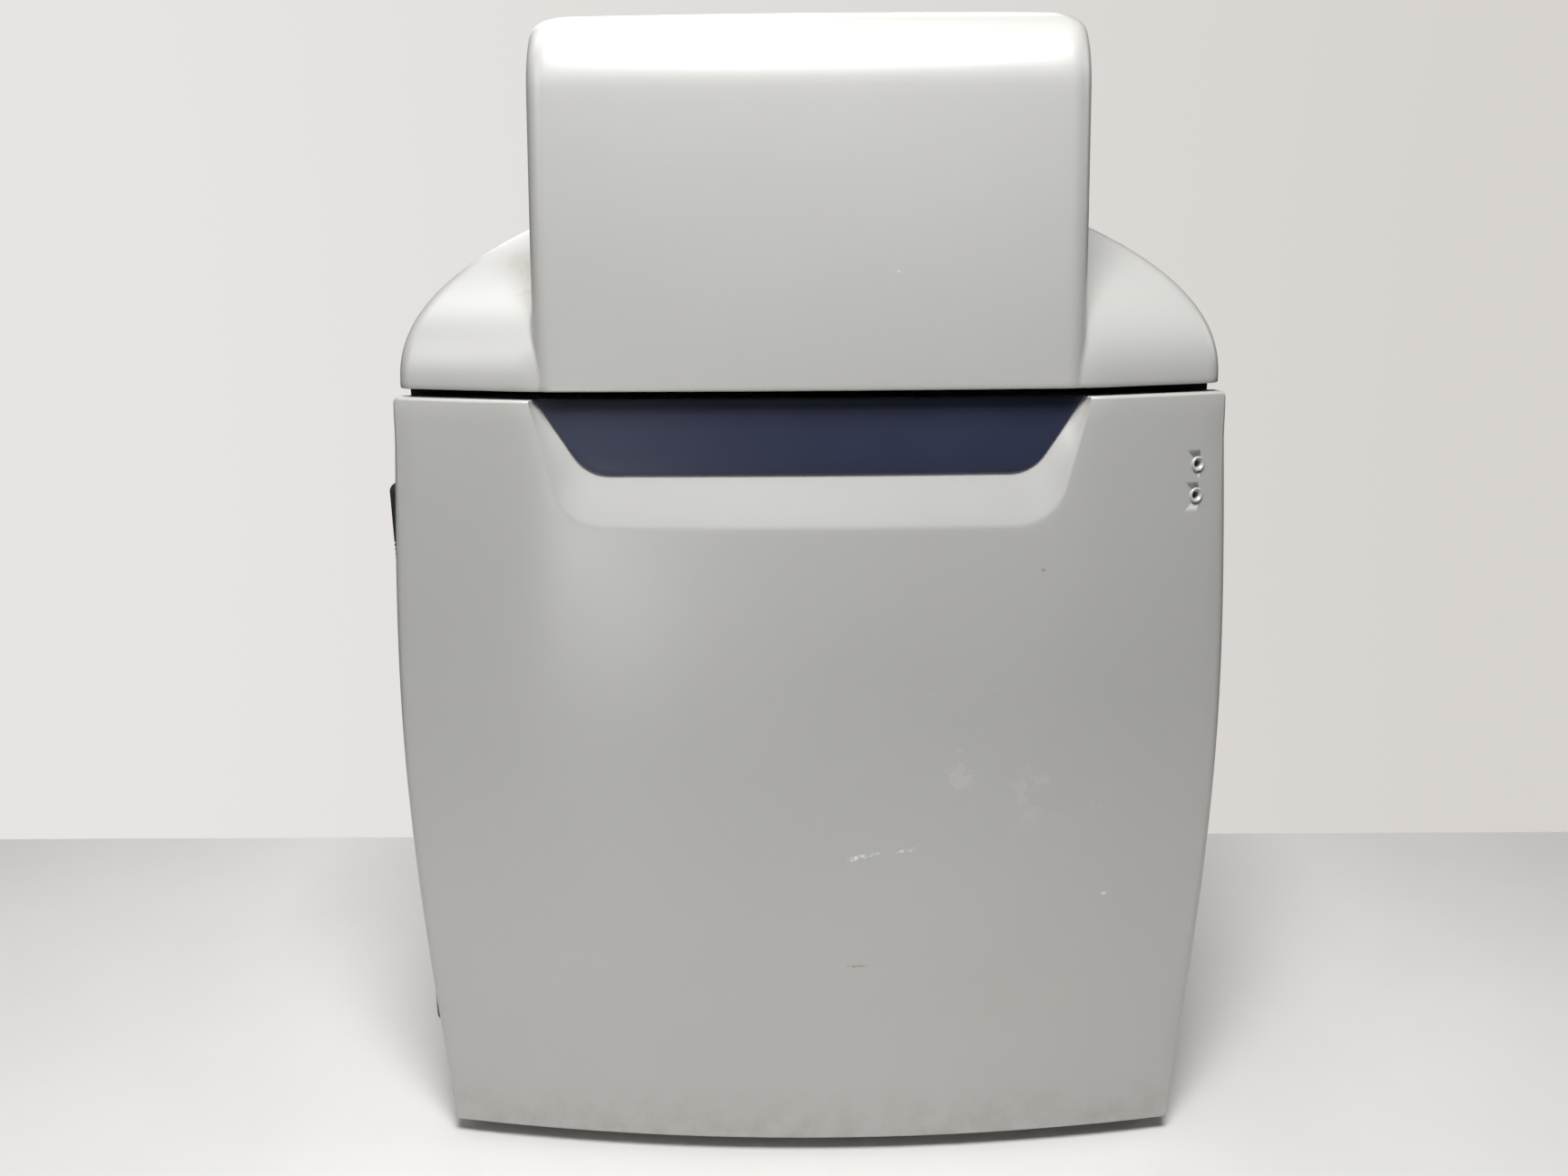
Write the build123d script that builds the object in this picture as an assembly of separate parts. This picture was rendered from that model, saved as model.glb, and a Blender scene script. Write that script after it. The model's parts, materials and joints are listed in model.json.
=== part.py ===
"""Gel documentation cabinet: a dark chamber with a convex door, a transilluminator in its base,
and a cooled camera with a motorised zoom lens and filter wheel in the hood on top.

Millimetres. +X is the viewer's right, -Y is the front, +Z is up. The origin is the middle of the
footprint, on the surface that the cabinet stands on.
"""
import os
from math import cos, pi, radians, sin, tan

from build123d import *

# Overall size
height = 745.0
depth = 465.0
cabinet_half_width = 253.5
rear_fittings_proud = 3.0
foot_height = 12.0
front_y = -depth / 2
rear_face_y = depth / 2 - rear_fittings_proud

# Clearances
seat_gap = 0.3
slip_gap = 0.25
shaft_gap = 0.08

# Door, measured in front view and in plan
door_bottom_z = foot_height
door_top_z = height - 218.5
door_widest_z = door_top_z - 204.5
door_half_top = cabinet_half_width + 6.5
door_half_widest = door_half_top + 11.4
door_half_bottom = door_half_top - 4.5
door_thickness = 51.5
door_wall = 3.0
door_side_round = 6.0
door_lip = 2.0
door_lip_width = 16.0
panel_field_depth = 2.0
crease_x = 168.0
wing_reach = door_half_widest + 12.6 - crease_x

# How far the door's front stands back from its middle: at the crease, half way out, at the wing's end
drops_bottom = (9.4, 16.8, 26.5)
drops_middle = (8.0, 18.4, 33.5)
drops_top = (5.0, 23.5, 49.0)
middle_section_z = door_top_z - 196.5

# Fascia recess in the door
fascia_depth = 10.0
fascia_thickness = 1.4
scoop_bottom_z = door_top_z - 78.0
scoop_half_top = 169.0
scoop_side_slope = 0.23
scoop_corner = 26.0
fascia_bottom_z = door_top_z - 46.5
fascia_half_top = 167.3
fascia_side_slope = 0.65

# Indicator bezels on the door
bezel_x = door_half_top - 17.5
bezel_top_z = door_top_z - 44.0
bezel_pitch = 19.6
bezel_diameter = 9.6
bezel_proud = 1.1
bezel_seat = 1.35
bezel_stem_diameter = 7.0
bezel_stem_length = 6.0
lamp_hole_diameter = 4.5

# Top cover
cover_bottom_z = door_top_z + 5.0
cover_half_width = cabinet_half_width + 3.5
cover_wall = 3.0
shoulder_rise = 116.5
shoulder_fall = 102.0
shoulder_power = 2.3
shoulder_lean = 1.2
shoulder_step = 7.0
shoulder_wing_drop = 31.0
shoulder_corner = 14.0
shoulder_sections = 7
hood_half_bottom = 167.0
hood_half_top = 159.5
hood_front_bow = 5.0
hood_front_round = 45.0
hood_edge_round = 14.0

# Sheet metal cabinet
sheet = 2.0
liner_sheet = 1.5
flange = 14.0
screw_shank_radius = 1.5
frame_top_z = door_top_z + 14.5
frame_opening_half = cabinet_half_width - 41.5
frame_opening_bottom_z = 44.0
frame_opening_top_z = door_top_z - 21.5
frame_thickness = 3.0
gasket_thickness = 2.2
gasket_width = 8.0
gasket_inset = 16.0
deck_z = door_top_z - 10.5
deck_thickness = 3.0
liner_back_y = rear_face_y - 79.5
liner_bottom_z = 26.0
panel_overlap = 8.0

# Side vent cover
vent_proud = 26.5
vent_front_y = front_y + 66.5
vent_length = 122.0
vent_bottom_z = 58.0
vent_top_z = door_top_z - 60.0
vent_wall = 2.4
vent_round = 10.0
vent_slot = 1.7
vent_slot_pitch = 3.1
vent_slots_per_bank = 5
vent_bank_pitch = 44.0
vent_banks = int((vent_top_z - vent_bottom_z) // vent_bank_pitch)
vent_first_slot_z = 60.6

# Hinges
hinge_axis_x = -cabinet_half_width - 5.0
hinge_axis_y = front_y + door_thickness - 2.0
hinge_knuckle_radius = 3.5
hinge_pin_radius = 1.5
hinge_heights = (185.0, door_top_z - 96.5)
hinge_knuckle = 18.0
hinge_plate = 1.6
hinge_plate_width = 20.0
hinge_leaf_length = 7.0
hinge_pocket_gap = 1.5

# Magnet catch and door interlock, on the free side of the door
catch_inset = 8.0
catch_z = 270.0
catch_half_width = 6.0
catch_half_height = 16.0
striker_thickness = 1.0
interlock_z = 200.0
plunger_radius = 2.0

# Feet
foot_x = cabinet_half_width - 41.5
foot_front_y = front_y + 92.5
foot_rear_y = rear_face_y - 37.5
foot_radius = 18.0

# Optics, from the roof deck upwards
optical_axis_y = (front_y + liner_back_y) / 2 + 21.25
lens_hole_radius = 30.0
filter_wheel_radius = 78.0
filter_circle_radius = 48.0
filter_count = 7
filter_radius = 15.0
filter_thickness = 3.0
wheel_thickness = 5.0
wheel_case_height = 26.0
wheel_case_wall = 2.0
ring_pitch_radius = 42.0
pinion_pitch_radius = 12.0
gear_module = 2.0
motor_radius = 9.0
motor_length = 28.0
shelf_z = door_top_z + 109.5
shelf_thickness = 4.0
post_radius = 6.0
post_x = 92.0
post_front_y = optical_axis_y - 84.0
post_rear_y = optical_axis_y + 90.0
camera_width = 100.0
camera_height = 72.0
camera_fins = 6
wheel_motor_angle = radians(55)

# Rings on the lens: name, angle of its motor, how far its underside hangs below the shelf, bore radius
ring_thickness = 14.0
ring_list = (
    ("focus", radians(0), 74.0, 39.0),
    ("zoom", radians(125), 48.0, 37.0),
)

# Transilluminator
table_half_x = frame_opening_half - 22.0
table_front_y = front_y + 72.5
table_rear_y = liner_back_y - 38.0
table_top_z = 100.0
table_window_x = 2 * table_half_x - 80.0
table_window_y = table_rear_y - table_front_y - 72.0
table_glass = 4.0
lamp_count = 6
lamp_diameter = 15.5
lamp_length = table_window_x - 12.0
lamp_z = 66.0
converter_thickness = 5.0
converter_half_x = table_half_x - 25.0
converter_rise = 2.5
converter_rim = 10.0
converter_ledge = 4.0
converter_seat = 2.0
converter_hinge_x = converter_half_x - 45.0
converter_pin_radius = 1.5

# Epi lights
epi_half_length = (liner_back_y - front_y) / 2 - 71.25

# Fans
fan_size = 80.0
fan_depth = 25.0
fan_blades = 7
rear_fan_x = cabinet_half_width - 103.5
rear_fan_z = 200.0
hood_fan_z = height - 95.0
grille_pitch = 8.0
grille_slot = 5.0

# Power entry
inlet_x = 30.0
inlet_z = 62.0
switch_x = 78.0
rocker_angle = 16.0
socket_places = (118.0, 136.0)

# Values worked out from the ones above
door_rear_y = front_y + door_thickness
frame_front_y = door_rear_y + gasket_thickness + seat_gap
frame_back_y = frame_front_y + frame_thickness
rear_sheet_y = rear_face_y - sheet
base_top_z = foot_height + sheet
wheel_axis_y = optical_axis_y + filter_circle_radius
wheel_teeth = int(2 * filter_wheel_radius / gear_module)
pinion_teeth = int(2 * pinion_pitch_radius / gear_module)
ring_teeth = int(2 * ring_pitch_radius / gear_module)
case_z = deck_z + deck_thickness
case_top_z = case_z + wheel_case_height
lens_base_z = case_top_z + seat_gap
wheel_z0 = case_z + 11
wheel_z1 = wheel_z0 + wheel_thickness
catch_x = frame_opening_half + catch_inset
table_centre_y = (table_front_y + table_rear_y) / 2
converter_front_y = table_centre_y - table_window_y / 2 - 15
converter_rear_y = table_rear_y - 14
converter_z = table_top_z + converter_rise
converter_axis_y = converter_rear_y + 5
converter_axis_z = converter_z + converter_thickness / 2
hood_plate_y = rear_face_y - 5
fan_places = ((rear_fan_x, rear_fan_z, rear_sheet_y), (0.0, hood_fan_z, hood_plate_y))


def block(x0, x1, y0, y1, z0, z1):
    """Box between two corners."""
    centre = Pos((x0 + x1) / 2, (y0 + y1) / 2, (z0 + z1) / 2)
    return centre * Box(x1 - x0, y1 - y0, z1 - z0)


def upright(radius, x, y, z0, z1):
    """Cylinder standing along Z."""
    return Pos(x, y, (z0 + z1) / 2) * Cylinder(radius, z1 - z0)


def along_y(radius, x, z, y0, y1):
    """Cylinder lying along Y."""
    return Pos(x, (y0 + y1) / 2, z) * Rot(90, 0, 0) * Cylinder(radius, y1 - y0)


def along_x(radius, y, z, x0, x1):
    """Cylinder lying along X."""
    return Pos((x0 + x1) / 2, y, z) * Rot(0, 90, 0) * Cylinder(radius, x1 - x0)


def mirrored(shape):
    """Copy on the other side of the middle plane."""
    return mirror(shape, about=Plane.YZ)


# Door


def wing_section(z, drops, inset):
    """Plan outline of the door: bowed middle, two swept wings, straight back behind the wings' ends."""
    crease, half_way, end = drops
    y = front_y + inset
    rear_y = front_y + 2 * door_thickness
    reach = crease_x + wing_reach
    middle = crease_x + wing_reach / 2
    edges = [
        ThreePointArc((-crease_x, y + crease), (0, y), (crease_x, y + crease)),
        ThreePointArc((crease_x, y + crease), (middle, y + half_way), (reach, y + end)),
        Line((reach, y + end), (reach, rear_y)),
        Line((reach, rear_y), (-reach, rear_y)),
        Line((-reach, rear_y), (-reach, y + end)),
        ThreePointArc((-reach, y + end), (-middle, y + half_way), (-crease_x, y + crease)),
    ]
    return Pos(0, 0, z) * make_face(edges)


def door_outline(inset, y0, y1):
    """Prism of the door's barrel outline in front view."""
    bottom = door_bottom_z + inset
    top = door_top_z - inset
    right = Spline(
        (door_half_bottom - inset, y0, bottom),
        (door_half_widest - inset, y0, door_widest_z),
        (door_half_top - inset, y0, top),
    )
    left = Spline(
        (-door_half_top + inset, y0, top),
        (-door_half_widest + inset, y0, door_widest_z),
        (-door_half_bottom + inset, y0, bottom),
    )
    edges = [right, Line(right @ 1, left @ 0), left, Line(left @ 1, right @ 0)]
    return extrude(make_face(edges), amount=y1 - y0, dir=(0, 1, 0))


def door_body(inset, rear_y):
    """The door's outer form, or the same form set in by one wall."""
    sections = [
        wing_section(door_bottom_z - 1, drops_bottom, inset),
        wing_section(middle_section_z, drops_middle, inset),
        wing_section(door_top_z + 1, drops_top, inset),
    ]
    return loft(sections) & door_outline(inset, front_y - 1, rear_y)


def recess_outline(y, half_top, slope, bottom_z, sag, corner):
    """Outline of the fascia recess at one depth; its lower edge sags outwards to stay level on the bow."""
    top = door_top_z + 4
    half_bottom = half_top - slope * (door_top_z - bottom_z)
    flat = half_bottom - corner
    low = bottom_z - sag
    side_z = bottom_z + corner * 0.75 - sag / 2
    side = half_top - slope * (door_top_z - side_z)
    bend = (flat + corner * 0.62, y, low + corner * 0.16)
    edges = [
        Line((-half_top, y, top), (half_top, y, top)),
        Line((half_top, y, top), (side, y, side_z)),
        ThreePointArc((side, y, side_z), bend, (flat, y, low)),
        ThreePointArc((flat, y, low), (0, y, bottom_z), (-flat, y, low)),
        ThreePointArc((-flat, y, low), (-bend[0], bend[1], bend[2]), (-side, y, side_z)),
        Line((-side, y, side_z), (-half_top, y, top)),
    ]
    return make_face(edges)


def bowed_slab(set_back, thickness):
    """Slab that follows the bow of the door's top, behind its front by set_back."""
    y = front_y + set_back
    reach = crease_x + 20
    drop = drops_top[0] * (reach / crease_x) ** 2
    rear = y + drop + thickness
    edges = [
        ThreePointArc((-reach, y + drop), (0, y), (reach, y + drop)),
        Line((reach, y + drop), (reach, rear)),
        ThreePointArc((reach, rear), (0, y + thickness), (-reach, rear)),
        Line((-reach, rear), (-reach, y + drop)),
    ]
    return extrude(Pos(0, 0, scoop_bottom_z - 30) * make_face(edges), amount=120)


def recess_tool(grow):
    """What the fascia recess removes from the door, or the same form grown by one wall."""
    slope_run = (fascia_bottom_z - scoop_bottom_z) / fascia_depth
    deep = fascia_depth + 6
    ratio = deep / fascia_depth
    sag = 3.4 * slope_run
    half_deep = scoop_half_top + (fascia_half_top - scoop_half_top) * ratio
    slope_deep = scoop_side_slope + (fascia_side_slope - scoop_side_slope) * ratio
    bottom_deep = scoop_bottom_z + slope_run * deep
    outer = recess_outline(
        front_y, scoop_half_top + grow, scoop_side_slope, scoop_bottom_z - grow, sag, scoop_corner
    )
    inner = recess_outline(
        front_y + deep, half_deep + grow, slope_deep, bottom_deep - grow, sag / 2, scoop_corner
    )
    floor = bowed_slab(fascia_depth + grow, 40)
    return loft([outer, inner], ruled=True) - floor


def hinge_boss(z):
    """Solid stretch of the door shell that a hinge leaf screws to."""
    half = hinge_knuckle * 1.5 + 4
    rear_y = door_rear_y - liner_sheet
    return block(-door_half_widest, hinge_axis_x + 1, door_rear_y - 22, rear_y, z - half, z + half)


def hinge_pocket(z):
    """Room for the knuckles and the cabinet's hinge arm."""
    reach = hinge_knuckle_radius + hinge_pocket_gap
    half = hinge_knuckle * 1.5 + slip_gap
    bore = upright(reach, hinge_axis_x, hinge_axis_y, z - half, z + half)
    return bore + block(
        hinge_axis_x - 1, hinge_axis_x + 10, hinge_axis_y, door_rear_y + 1, z - half, z + half
    )


def bezel_places(outer):
    """Where each indicator bezel sits: on the door's own surface, facing out from it."""
    places = []
    for row in range(2):
        ray = Axis((bezel_x, front_y - 50, bezel_top_z - row * bezel_pitch), (0, 1, 0))
        point, normal = outer.find_intersection_points(ray)[0]
        outward = normal if normal.Y < 0 else -normal
        places.append(Plane(origin=point, x_dir=(0, 0, 1), z_dir=outward).location)
    return places


def door_shell():
    """Moulded convex outer door with its fascia recess, rear lip and hinge bosses."""
    lip_y = door_rear_y - liner_sheet
    outer = door_body(0, lip_y)
    front_edges = outer.edges().filter_by(
        lambda e: abs(e.center().X) > door_half_bottom - 14 and e.center().Y < door_rear_y - 6
        and e.length > (door_top_z - door_bottom_z) * 3 / 4
    )
    outer = fillet(front_edges, door_side_round)
    pocket = door_body(door_wall, lip_y - door_lip) - recess_tool(door_wall)
    for z in hinge_heights:
        pocket -= hinge_boss(z)
    lip_half = cabinet_half_width - door_lip_width
    window = block(
        -lip_half, lip_half, lip_y - door_lip - 1, lip_y + 1,
        door_bottom_z + door_lip_width, door_top_z - door_lip_width,
    )
    shell = outer - pocket - recess_tool(0) - window
    for z in hinge_heights:
        shell -= hinge_pocket(z)
    for place in bezel_places(outer):
        shell -= place * Pos(0, 0, -4) * Cylinder(bezel_stem_diameter / 2 + slip_gap, 16)
        shell -= place * Pos(0, 0, bezel_proud) * Cylinder(bezel_diameter / 2 + 0.05, 2 * bezel_seat)
    return shell


def door_inner_panel():
    """Black pressed panel that closes the door from inside, with a sunk middle field."""
    half = cabinet_half_width - 2
    plate = block(
        -half, half, door_rear_y - liner_sheet, door_rear_y,
        door_bottom_z + 6, door_top_z - 5,
    )
    for z in hinge_heights:
        plate -= hinge_pocket(z)
    sheet_back_y = door_rear_y - liner_sheet
    half = frame_opening_half - 14
    low = frame_opening_bottom_z + 14
    high = frame_opening_top_z - 14
    bulge = block(-half, half, sheet_back_y - panel_field_depth, sheet_back_y, low, high)
    bulge = fillet(bulge.edges().filter_by(Axis.Y), 18)
    bulge = chamfer(bulge.faces().sort_by(Axis.Y)[0].edges(), panel_field_depth - 0.3)
    inset = liner_sheet * tan(pi / 8)
    dish = block(
        -half + inset, half - inset, door_rear_y - panel_field_depth, door_rear_y, low + inset, high - inset
    )
    dish = fillet(dish.edges().filter_by(Axis.Y), 18 - inset)
    dish = chamfer(dish.faces().sort_by(Axis.Y)[0].edges(), panel_field_depth - 0.3)
    return plate + bulge - dish


def rectangle_ring(half, width, z0, z1, y0, y1, corner):
    """Flat ring of rectangular outline with rounded corners, facing along Y."""
    outer = block(-half, half, y0, y1, z0, z1)
    outer = fillet(outer.edges().filter_by(Axis.Y), corner)
    inner = block(-half + width, half - width, y0 - 1, y1 + 1, z0 + width, z1 - width)
    inner = fillet(inner.edges().filter_by(Axis.Y), corner - width / 2)
    return outer - inner


def door_gasket():
    """Soft light seal on the inner panel."""
    half = frame_opening_half + gasket_inset + gasket_width
    return rectangle_ring(
        half, gasket_width, frame_opening_bottom_z - gasket_inset - gasket_width,
        frame_opening_top_z + gasket_inset, door_rear_y, door_rear_y + gasket_thickness, 14,
    )


def fascia_panel():
    """Thin bowed plate on the floor of the recess."""
    field = recess_tool(-seat_gap)
    slab = bowed_slab(fascia_depth - fascia_thickness, fascia_thickness)
    trimmed = field & slab
    half = scoop_half_top + 30
    return trimmed & block(-half, half, front_y, 0, scoop_bottom_z - 50, door_top_z - 0.5)


def led_bezels():
    """Two raised bezels with a conical mouth round the lamp hole."""
    rings = []
    seat = bezel_proud - bezel_seat
    for place in bezel_places(door_body(0, door_rear_y)):
        flange_part = Pos(0, 0, (bezel_proud + seat) / 2) * Cylinder(bezel_diameter / 2, bezel_proud - seat)
        stem = Pos(0, 0, -bezel_stem_length / 2) * Cylinder(bezel_stem_diameter / 2, bezel_stem_length)
        mouth = Pos(0, 0, bezel_proud - 1) * Cone(lamp_hole_diameter / 2, bezel_diameter / 2 - 0.8, 2)
        hole = Cylinder(lamp_hole_diameter / 2, 3 * bezel_stem_length)
        rings.append(place * (flange_part + stem - mouth - hole))
    return rings


def led_lenses():
    """Domed lamps that sit deep in the bezels."""
    radius = lamp_hole_diameter / 2 - shaft_gap
    lamps = []
    for place in bezel_places(door_body(0, door_rear_y)):
        body = Pos(0, 0, -bezel_stem_length - 1) * Cylinder(radius, 5)
        dome = Pos(0, 0, -bezel_stem_length + 1.5) * Sphere(radius)
        collar = Pos(0, 0, -bezel_stem_length - 1.5) * Cylinder(radius + 0.9, 3 - seat_gap)
        lamps.append(place * (body + dome + collar))
    return lamps


# Hinges, catch and interlock


def knuckle(z0, z1):
    """One hinge knuckle, bored for the pin."""
    outer = upright(hinge_knuckle_radius, hinge_axis_x, hinge_axis_y, z0, z1)
    bore = upright(hinge_pin_radius + shaft_gap, hinge_axis_x, hinge_axis_y, z0 - 1, z1 + 1)
    return outer, bore


def hinge_brackets():
    """Cabinet halves of both hinges: a plate on the front frame with the middle knuckle."""
    parts = []
    for z in hinge_heights:
        half = hinge_knuckle / 2 - slip_gap
        outer, bore = knuckle(z - half, z + half)
        plate = block(
            hinge_axis_x + 1, hinge_axis_x + hinge_plate_width, frame_front_y - hinge_plate, frame_front_y,
            z - half, z + half,
        )
        arm = block(
            hinge_axis_x, hinge_axis_x + hinge_knuckle_radius, hinge_axis_y, frame_front_y,
            z - half, z + half,
        )
        parts.append(outer + plate + arm - bore)
    return parts


def hinge_door_leaves():
    """Door halves of both hinges: outer knuckles on a plate inside the door edge."""
    parts = []
    for z in hinge_heights:
        low = knuckle(z - 1.5 * hinge_knuckle, z - hinge_knuckle / 2)
        high = knuckle(z + hinge_knuckle / 2, z + 1.5 * hinge_knuckle)
        plate = block(
            hinge_axis_x + 1, hinge_axis_x + 1 + hinge_plate,
            hinge_axis_y - 1 - hinge_leaf_length, hinge_axis_y - 1,
            z - 1.5 * hinge_knuckle, z + 1.5 * hinge_knuckle,
        )
        reach = hinge_knuckle_radius + hinge_pocket_gap
        room = upright(
            reach, hinge_axis_x, hinge_axis_y, z - hinge_knuckle / 2, z + hinge_knuckle / 2
        )
        parts.append(low[0] + high[0] + (plate - room) - low[1] - high[1])
    return parts


def hinge_pins():
    """Headed pins through the knuckles."""
    pins = []
    for z in hinge_heights:
        half = 1.5 * hinge_knuckle
        pin = upright(hinge_pin_radius, hinge_axis_x, hinge_axis_y, z - half, z + half - 1)
        pins.append(pin)
    return pins


def magnet_catch():
    """Magnet block let into the front frame on the free side of the door."""
    y0 = door_rear_y + striker_thickness + seat_gap
    return block(
        catch_x - catch_half_width, catch_x + catch_half_width, y0, frame_back_y + 8,
        catch_z - catch_half_height, catch_z + catch_half_height,
    )


def door_striker():
    """Steel plate on the inner panel that meets the magnet."""
    plate = block(
        catch_x - catch_half_width, catch_x + catch_half_width,
        door_rear_y, door_rear_y + striker_thickness,
        catch_z - catch_half_height - 4, catch_z + catch_half_height + 4,
    )
    return fillet(plate.edges().filter_by(Axis.Y), 3)


def interlock_switch():
    """Switch body behind the front frame, bored for its plunger."""
    body = block(
        catch_x - 5, catch_x + 5, frame_back_y, frame_back_y + 18, interlock_z - 12, interlock_z + 12
    )
    bore = along_y(
        plunger_radius + slip_gap, catch_x, interlock_z, frame_back_y - 1, frame_back_y + 14
    )
    return body - bore


def interlock_plunger():
    """Plunger that the closed door holds down."""
    stem = along_y(plunger_radius, catch_x, interlock_z, door_rear_y + seat_gap + 1, frame_back_y + 8)
    tip = Pos(catch_x, door_rear_y + seat_gap + 1, interlock_z) * Sphere(plunger_radius - 0.05)
    tip &= block(catch_x - 3, catch_x + 3, door_rear_y + seat_gap, 0, interlock_z - 3, interlock_z + 3)
    return stem + tip


# Cabinet shells


def base_pan():
    """Folded tray that carries everything."""
    half = cabinet_half_width - sheet
    tray = block(-half, half, frame_back_y, rear_sheet_y, foot_height, liner_bottom_z)
    room = block(
        -half + sheet, half - sheet, frame_back_y + sheet, rear_sheet_y - sheet,
        base_top_z, liner_bottom_z + 1,
    )
    return tray - room


def feet():
    """Four tapered rubber feet, each with a screw recess."""
    parts = []
    for x in (-foot_x, foot_x):
        for y in (foot_front_y, foot_rear_y):
            foot = Cone(foot_radius - 3, foot_radius, foot_height)
            recess = Pos(0, 0, -foot_height / 2 + 2) * Cylinder(5, 4)
            foot = fillet((foot - recess).faces().sort_by(Axis.Z)[0].outer_wire().edges(), 1.2)
            parts.append(Pos(x, y, foot_height / 2) * foot)
    return parts


def side_panel():
    """Right side panel with folded front and rear flanges; the left one is its mirror image."""
    x = cabinet_half_width
    top = cover_bottom_z + panel_overlap
    skin = block(x - sheet, x, frame_back_y, rear_sheet_y, foot_height, top)
    ledge = block(x - flange, x, frame_back_y, rear_sheet_y, deck_z - sheet, deck_z)
    front_fold = block(x - flange, x, frame_back_y, frame_back_y + sheet, foot_height + 30, top)
    rear_fold = block(x - flange, x, rear_sheet_y - sheet, rear_sheet_y, foot_height + 30, top)
    top_fold = block(x - flange, x, frame_back_y, rear_sheet_y, top - sheet, top)
    panel = skin + front_fold + rear_fold + top_fold + ledge
    shortest = (rear_sheet_y - frame_back_y) / 2
    outer_edges = panel.edges().filter_by(lambda e: abs(e.center().X - x) < 0.01 and e.length > shortest)
    panel = fillet(outer_edges, 1.2)
    for screw_x, z in rear_screw_places():
        hole = screw_shank_radius + shaft_gap
        panel -= along_y(hole, screw_x, z, rear_sheet_y - sheet - 1, rear_sheet_y + 1)
    return panel


def side_panel_left():
    """Left side panel with a window behind the vent cover and a folded light trap over the window."""
    x = -cabinet_half_width
    y0 = vent_front_y + 24
    y1 = vent_front_y + vent_length - 24
    window = block(x - 1, x + sheet + 1, y0, y1, vent_bottom_z + 40, vent_top_z - 40)
    trap = block(x - 12, x, y0 - 10, y1 + 10, vent_bottom_z + 16, vent_top_z - 16)
    room = block(x - 10.5, x + 1, y0 - 8.5, y1 + 8.5, vent_bottom_z + 15, vent_top_z - 15)
    return mirrored(side_panel()) - window + (trap - room)


def punched_grille(x, z, y):
    """Ring-shaped slots with four spokes, punched through a sheet in front of a fan."""
    slots = None
    for row in range(4):
        outer = fan_size / 2 - 4 - row * grille_pitch
        ring = along_y(outer, x, z, y - 1, y + sheet + 1)
        ring -= along_y(outer - grille_slot, x, z, y - 2, y + sheet + 2)
        slots = ring if slots is None else slots + ring
    for turn in range(2):
        slots -= Pos(x, y + sheet / 2, z) * Rot(0, 45 + 90 * turn, 0) * Box(fan_size, sheet + 6, 4)
    return slots


def rear_panel():
    """Rear sheet with fan hole, power and data cut-outs, and a bank of slots."""
    half = cabinet_half_width
    top = cover_bottom_z + panel_overlap
    plate = block(-half, half, rear_sheet_y, rear_face_y, foot_height, top)
    plate = fillet(plate.edges().filter_by(Axis.Y), 3)
    plate -= punched_grille(rear_fan_x, rear_fan_z, rear_sheet_y)
    plate -= block(
        inlet_x - 15, inlet_x + 15, rear_sheet_y - 1, rear_face_y + 1, inlet_z - 26, inlet_z + 13
    )
    plate -= block(
        switch_x - 10.5, switch_x + 10.5, rear_sheet_y - 1, rear_face_y + 1, inlet_z - 14, inlet_z + 14
    )
    for x in socket_places:
        plate -= block(x - 6.6, x + 6.6, rear_sheet_y - 1, rear_face_y + 1, inlet_z - 6.1, inlet_z + 6.1)
    for row in range(10):
        slot = Pos(-rear_fan_x, rear_face_y - 1, 150 + row * 12) * Rot(90, 0, 0)
        plate -= slot * extrude(SlotOverall(90, 4), amount=6, both=True)
    for x, z in rear_screw_places():
        plate -= along_y(screw_shank_radius + shaft_gap, x, z, rear_sheet_y - 1, rear_face_y + 1)
    return plate


def rear_screw_places():
    """Screws along both sides of the rear panel."""
    side = cabinet_half_width - 8
    pitch = (cover_bottom_z - 91.5) / 4
    return [(sign * side, 60 + row * pitch) for sign in (-1, 1) for row in range(5)]


def rear_screws():
    """Domed screws through the rear panel into the folded flanges."""
    parts = []
    for x, z in rear_screw_places():
        head = along_y(3, x, z, rear_face_y, rear_face_y + 1.6)
        head = fillet(head.faces().sort_by(Axis.Y)[-1].edges(), 1.0)
        shank = along_y(screw_shank_radius, x, z, rear_sheet_y - sheet - 3, rear_face_y + 0.2)
        cross = block(x - 1.6, x + 1.6, rear_face_y + 0.9, rear_face_y + 3, z - 0.35, z + 0.35)
        parts.append(head + shank - cross)
    return parts


def front_frame():
    """Black frame round the chamber mouth, which also closes the gap under the top cover."""
    half = cabinet_half_width
    plate = block(-half, half, frame_front_y, frame_back_y, foot_height + 2, frame_top_z)
    mouth = block(
        -frame_opening_half, frame_opening_half, frame_front_y - 1, frame_back_y + 1,
        frame_opening_bottom_z, frame_opening_top_z,
    )
    mouth = fillet(mouth.edges().filter_by(Axis.Y), 10)
    plate -= mouth
    plate -= block(
        catch_x - catch_half_width - seat_gap, catch_x + catch_half_width + seat_gap,
        frame_front_y - 1, frame_back_y + 1,
        catch_z - catch_half_height - seat_gap, catch_z + catch_half_height + seat_gap,
    )
    plate -= along_y(
        plunger_radius + slip_gap, catch_x, interlock_z, frame_front_y - 1, frame_back_y + 1
    )
    return plate


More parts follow.
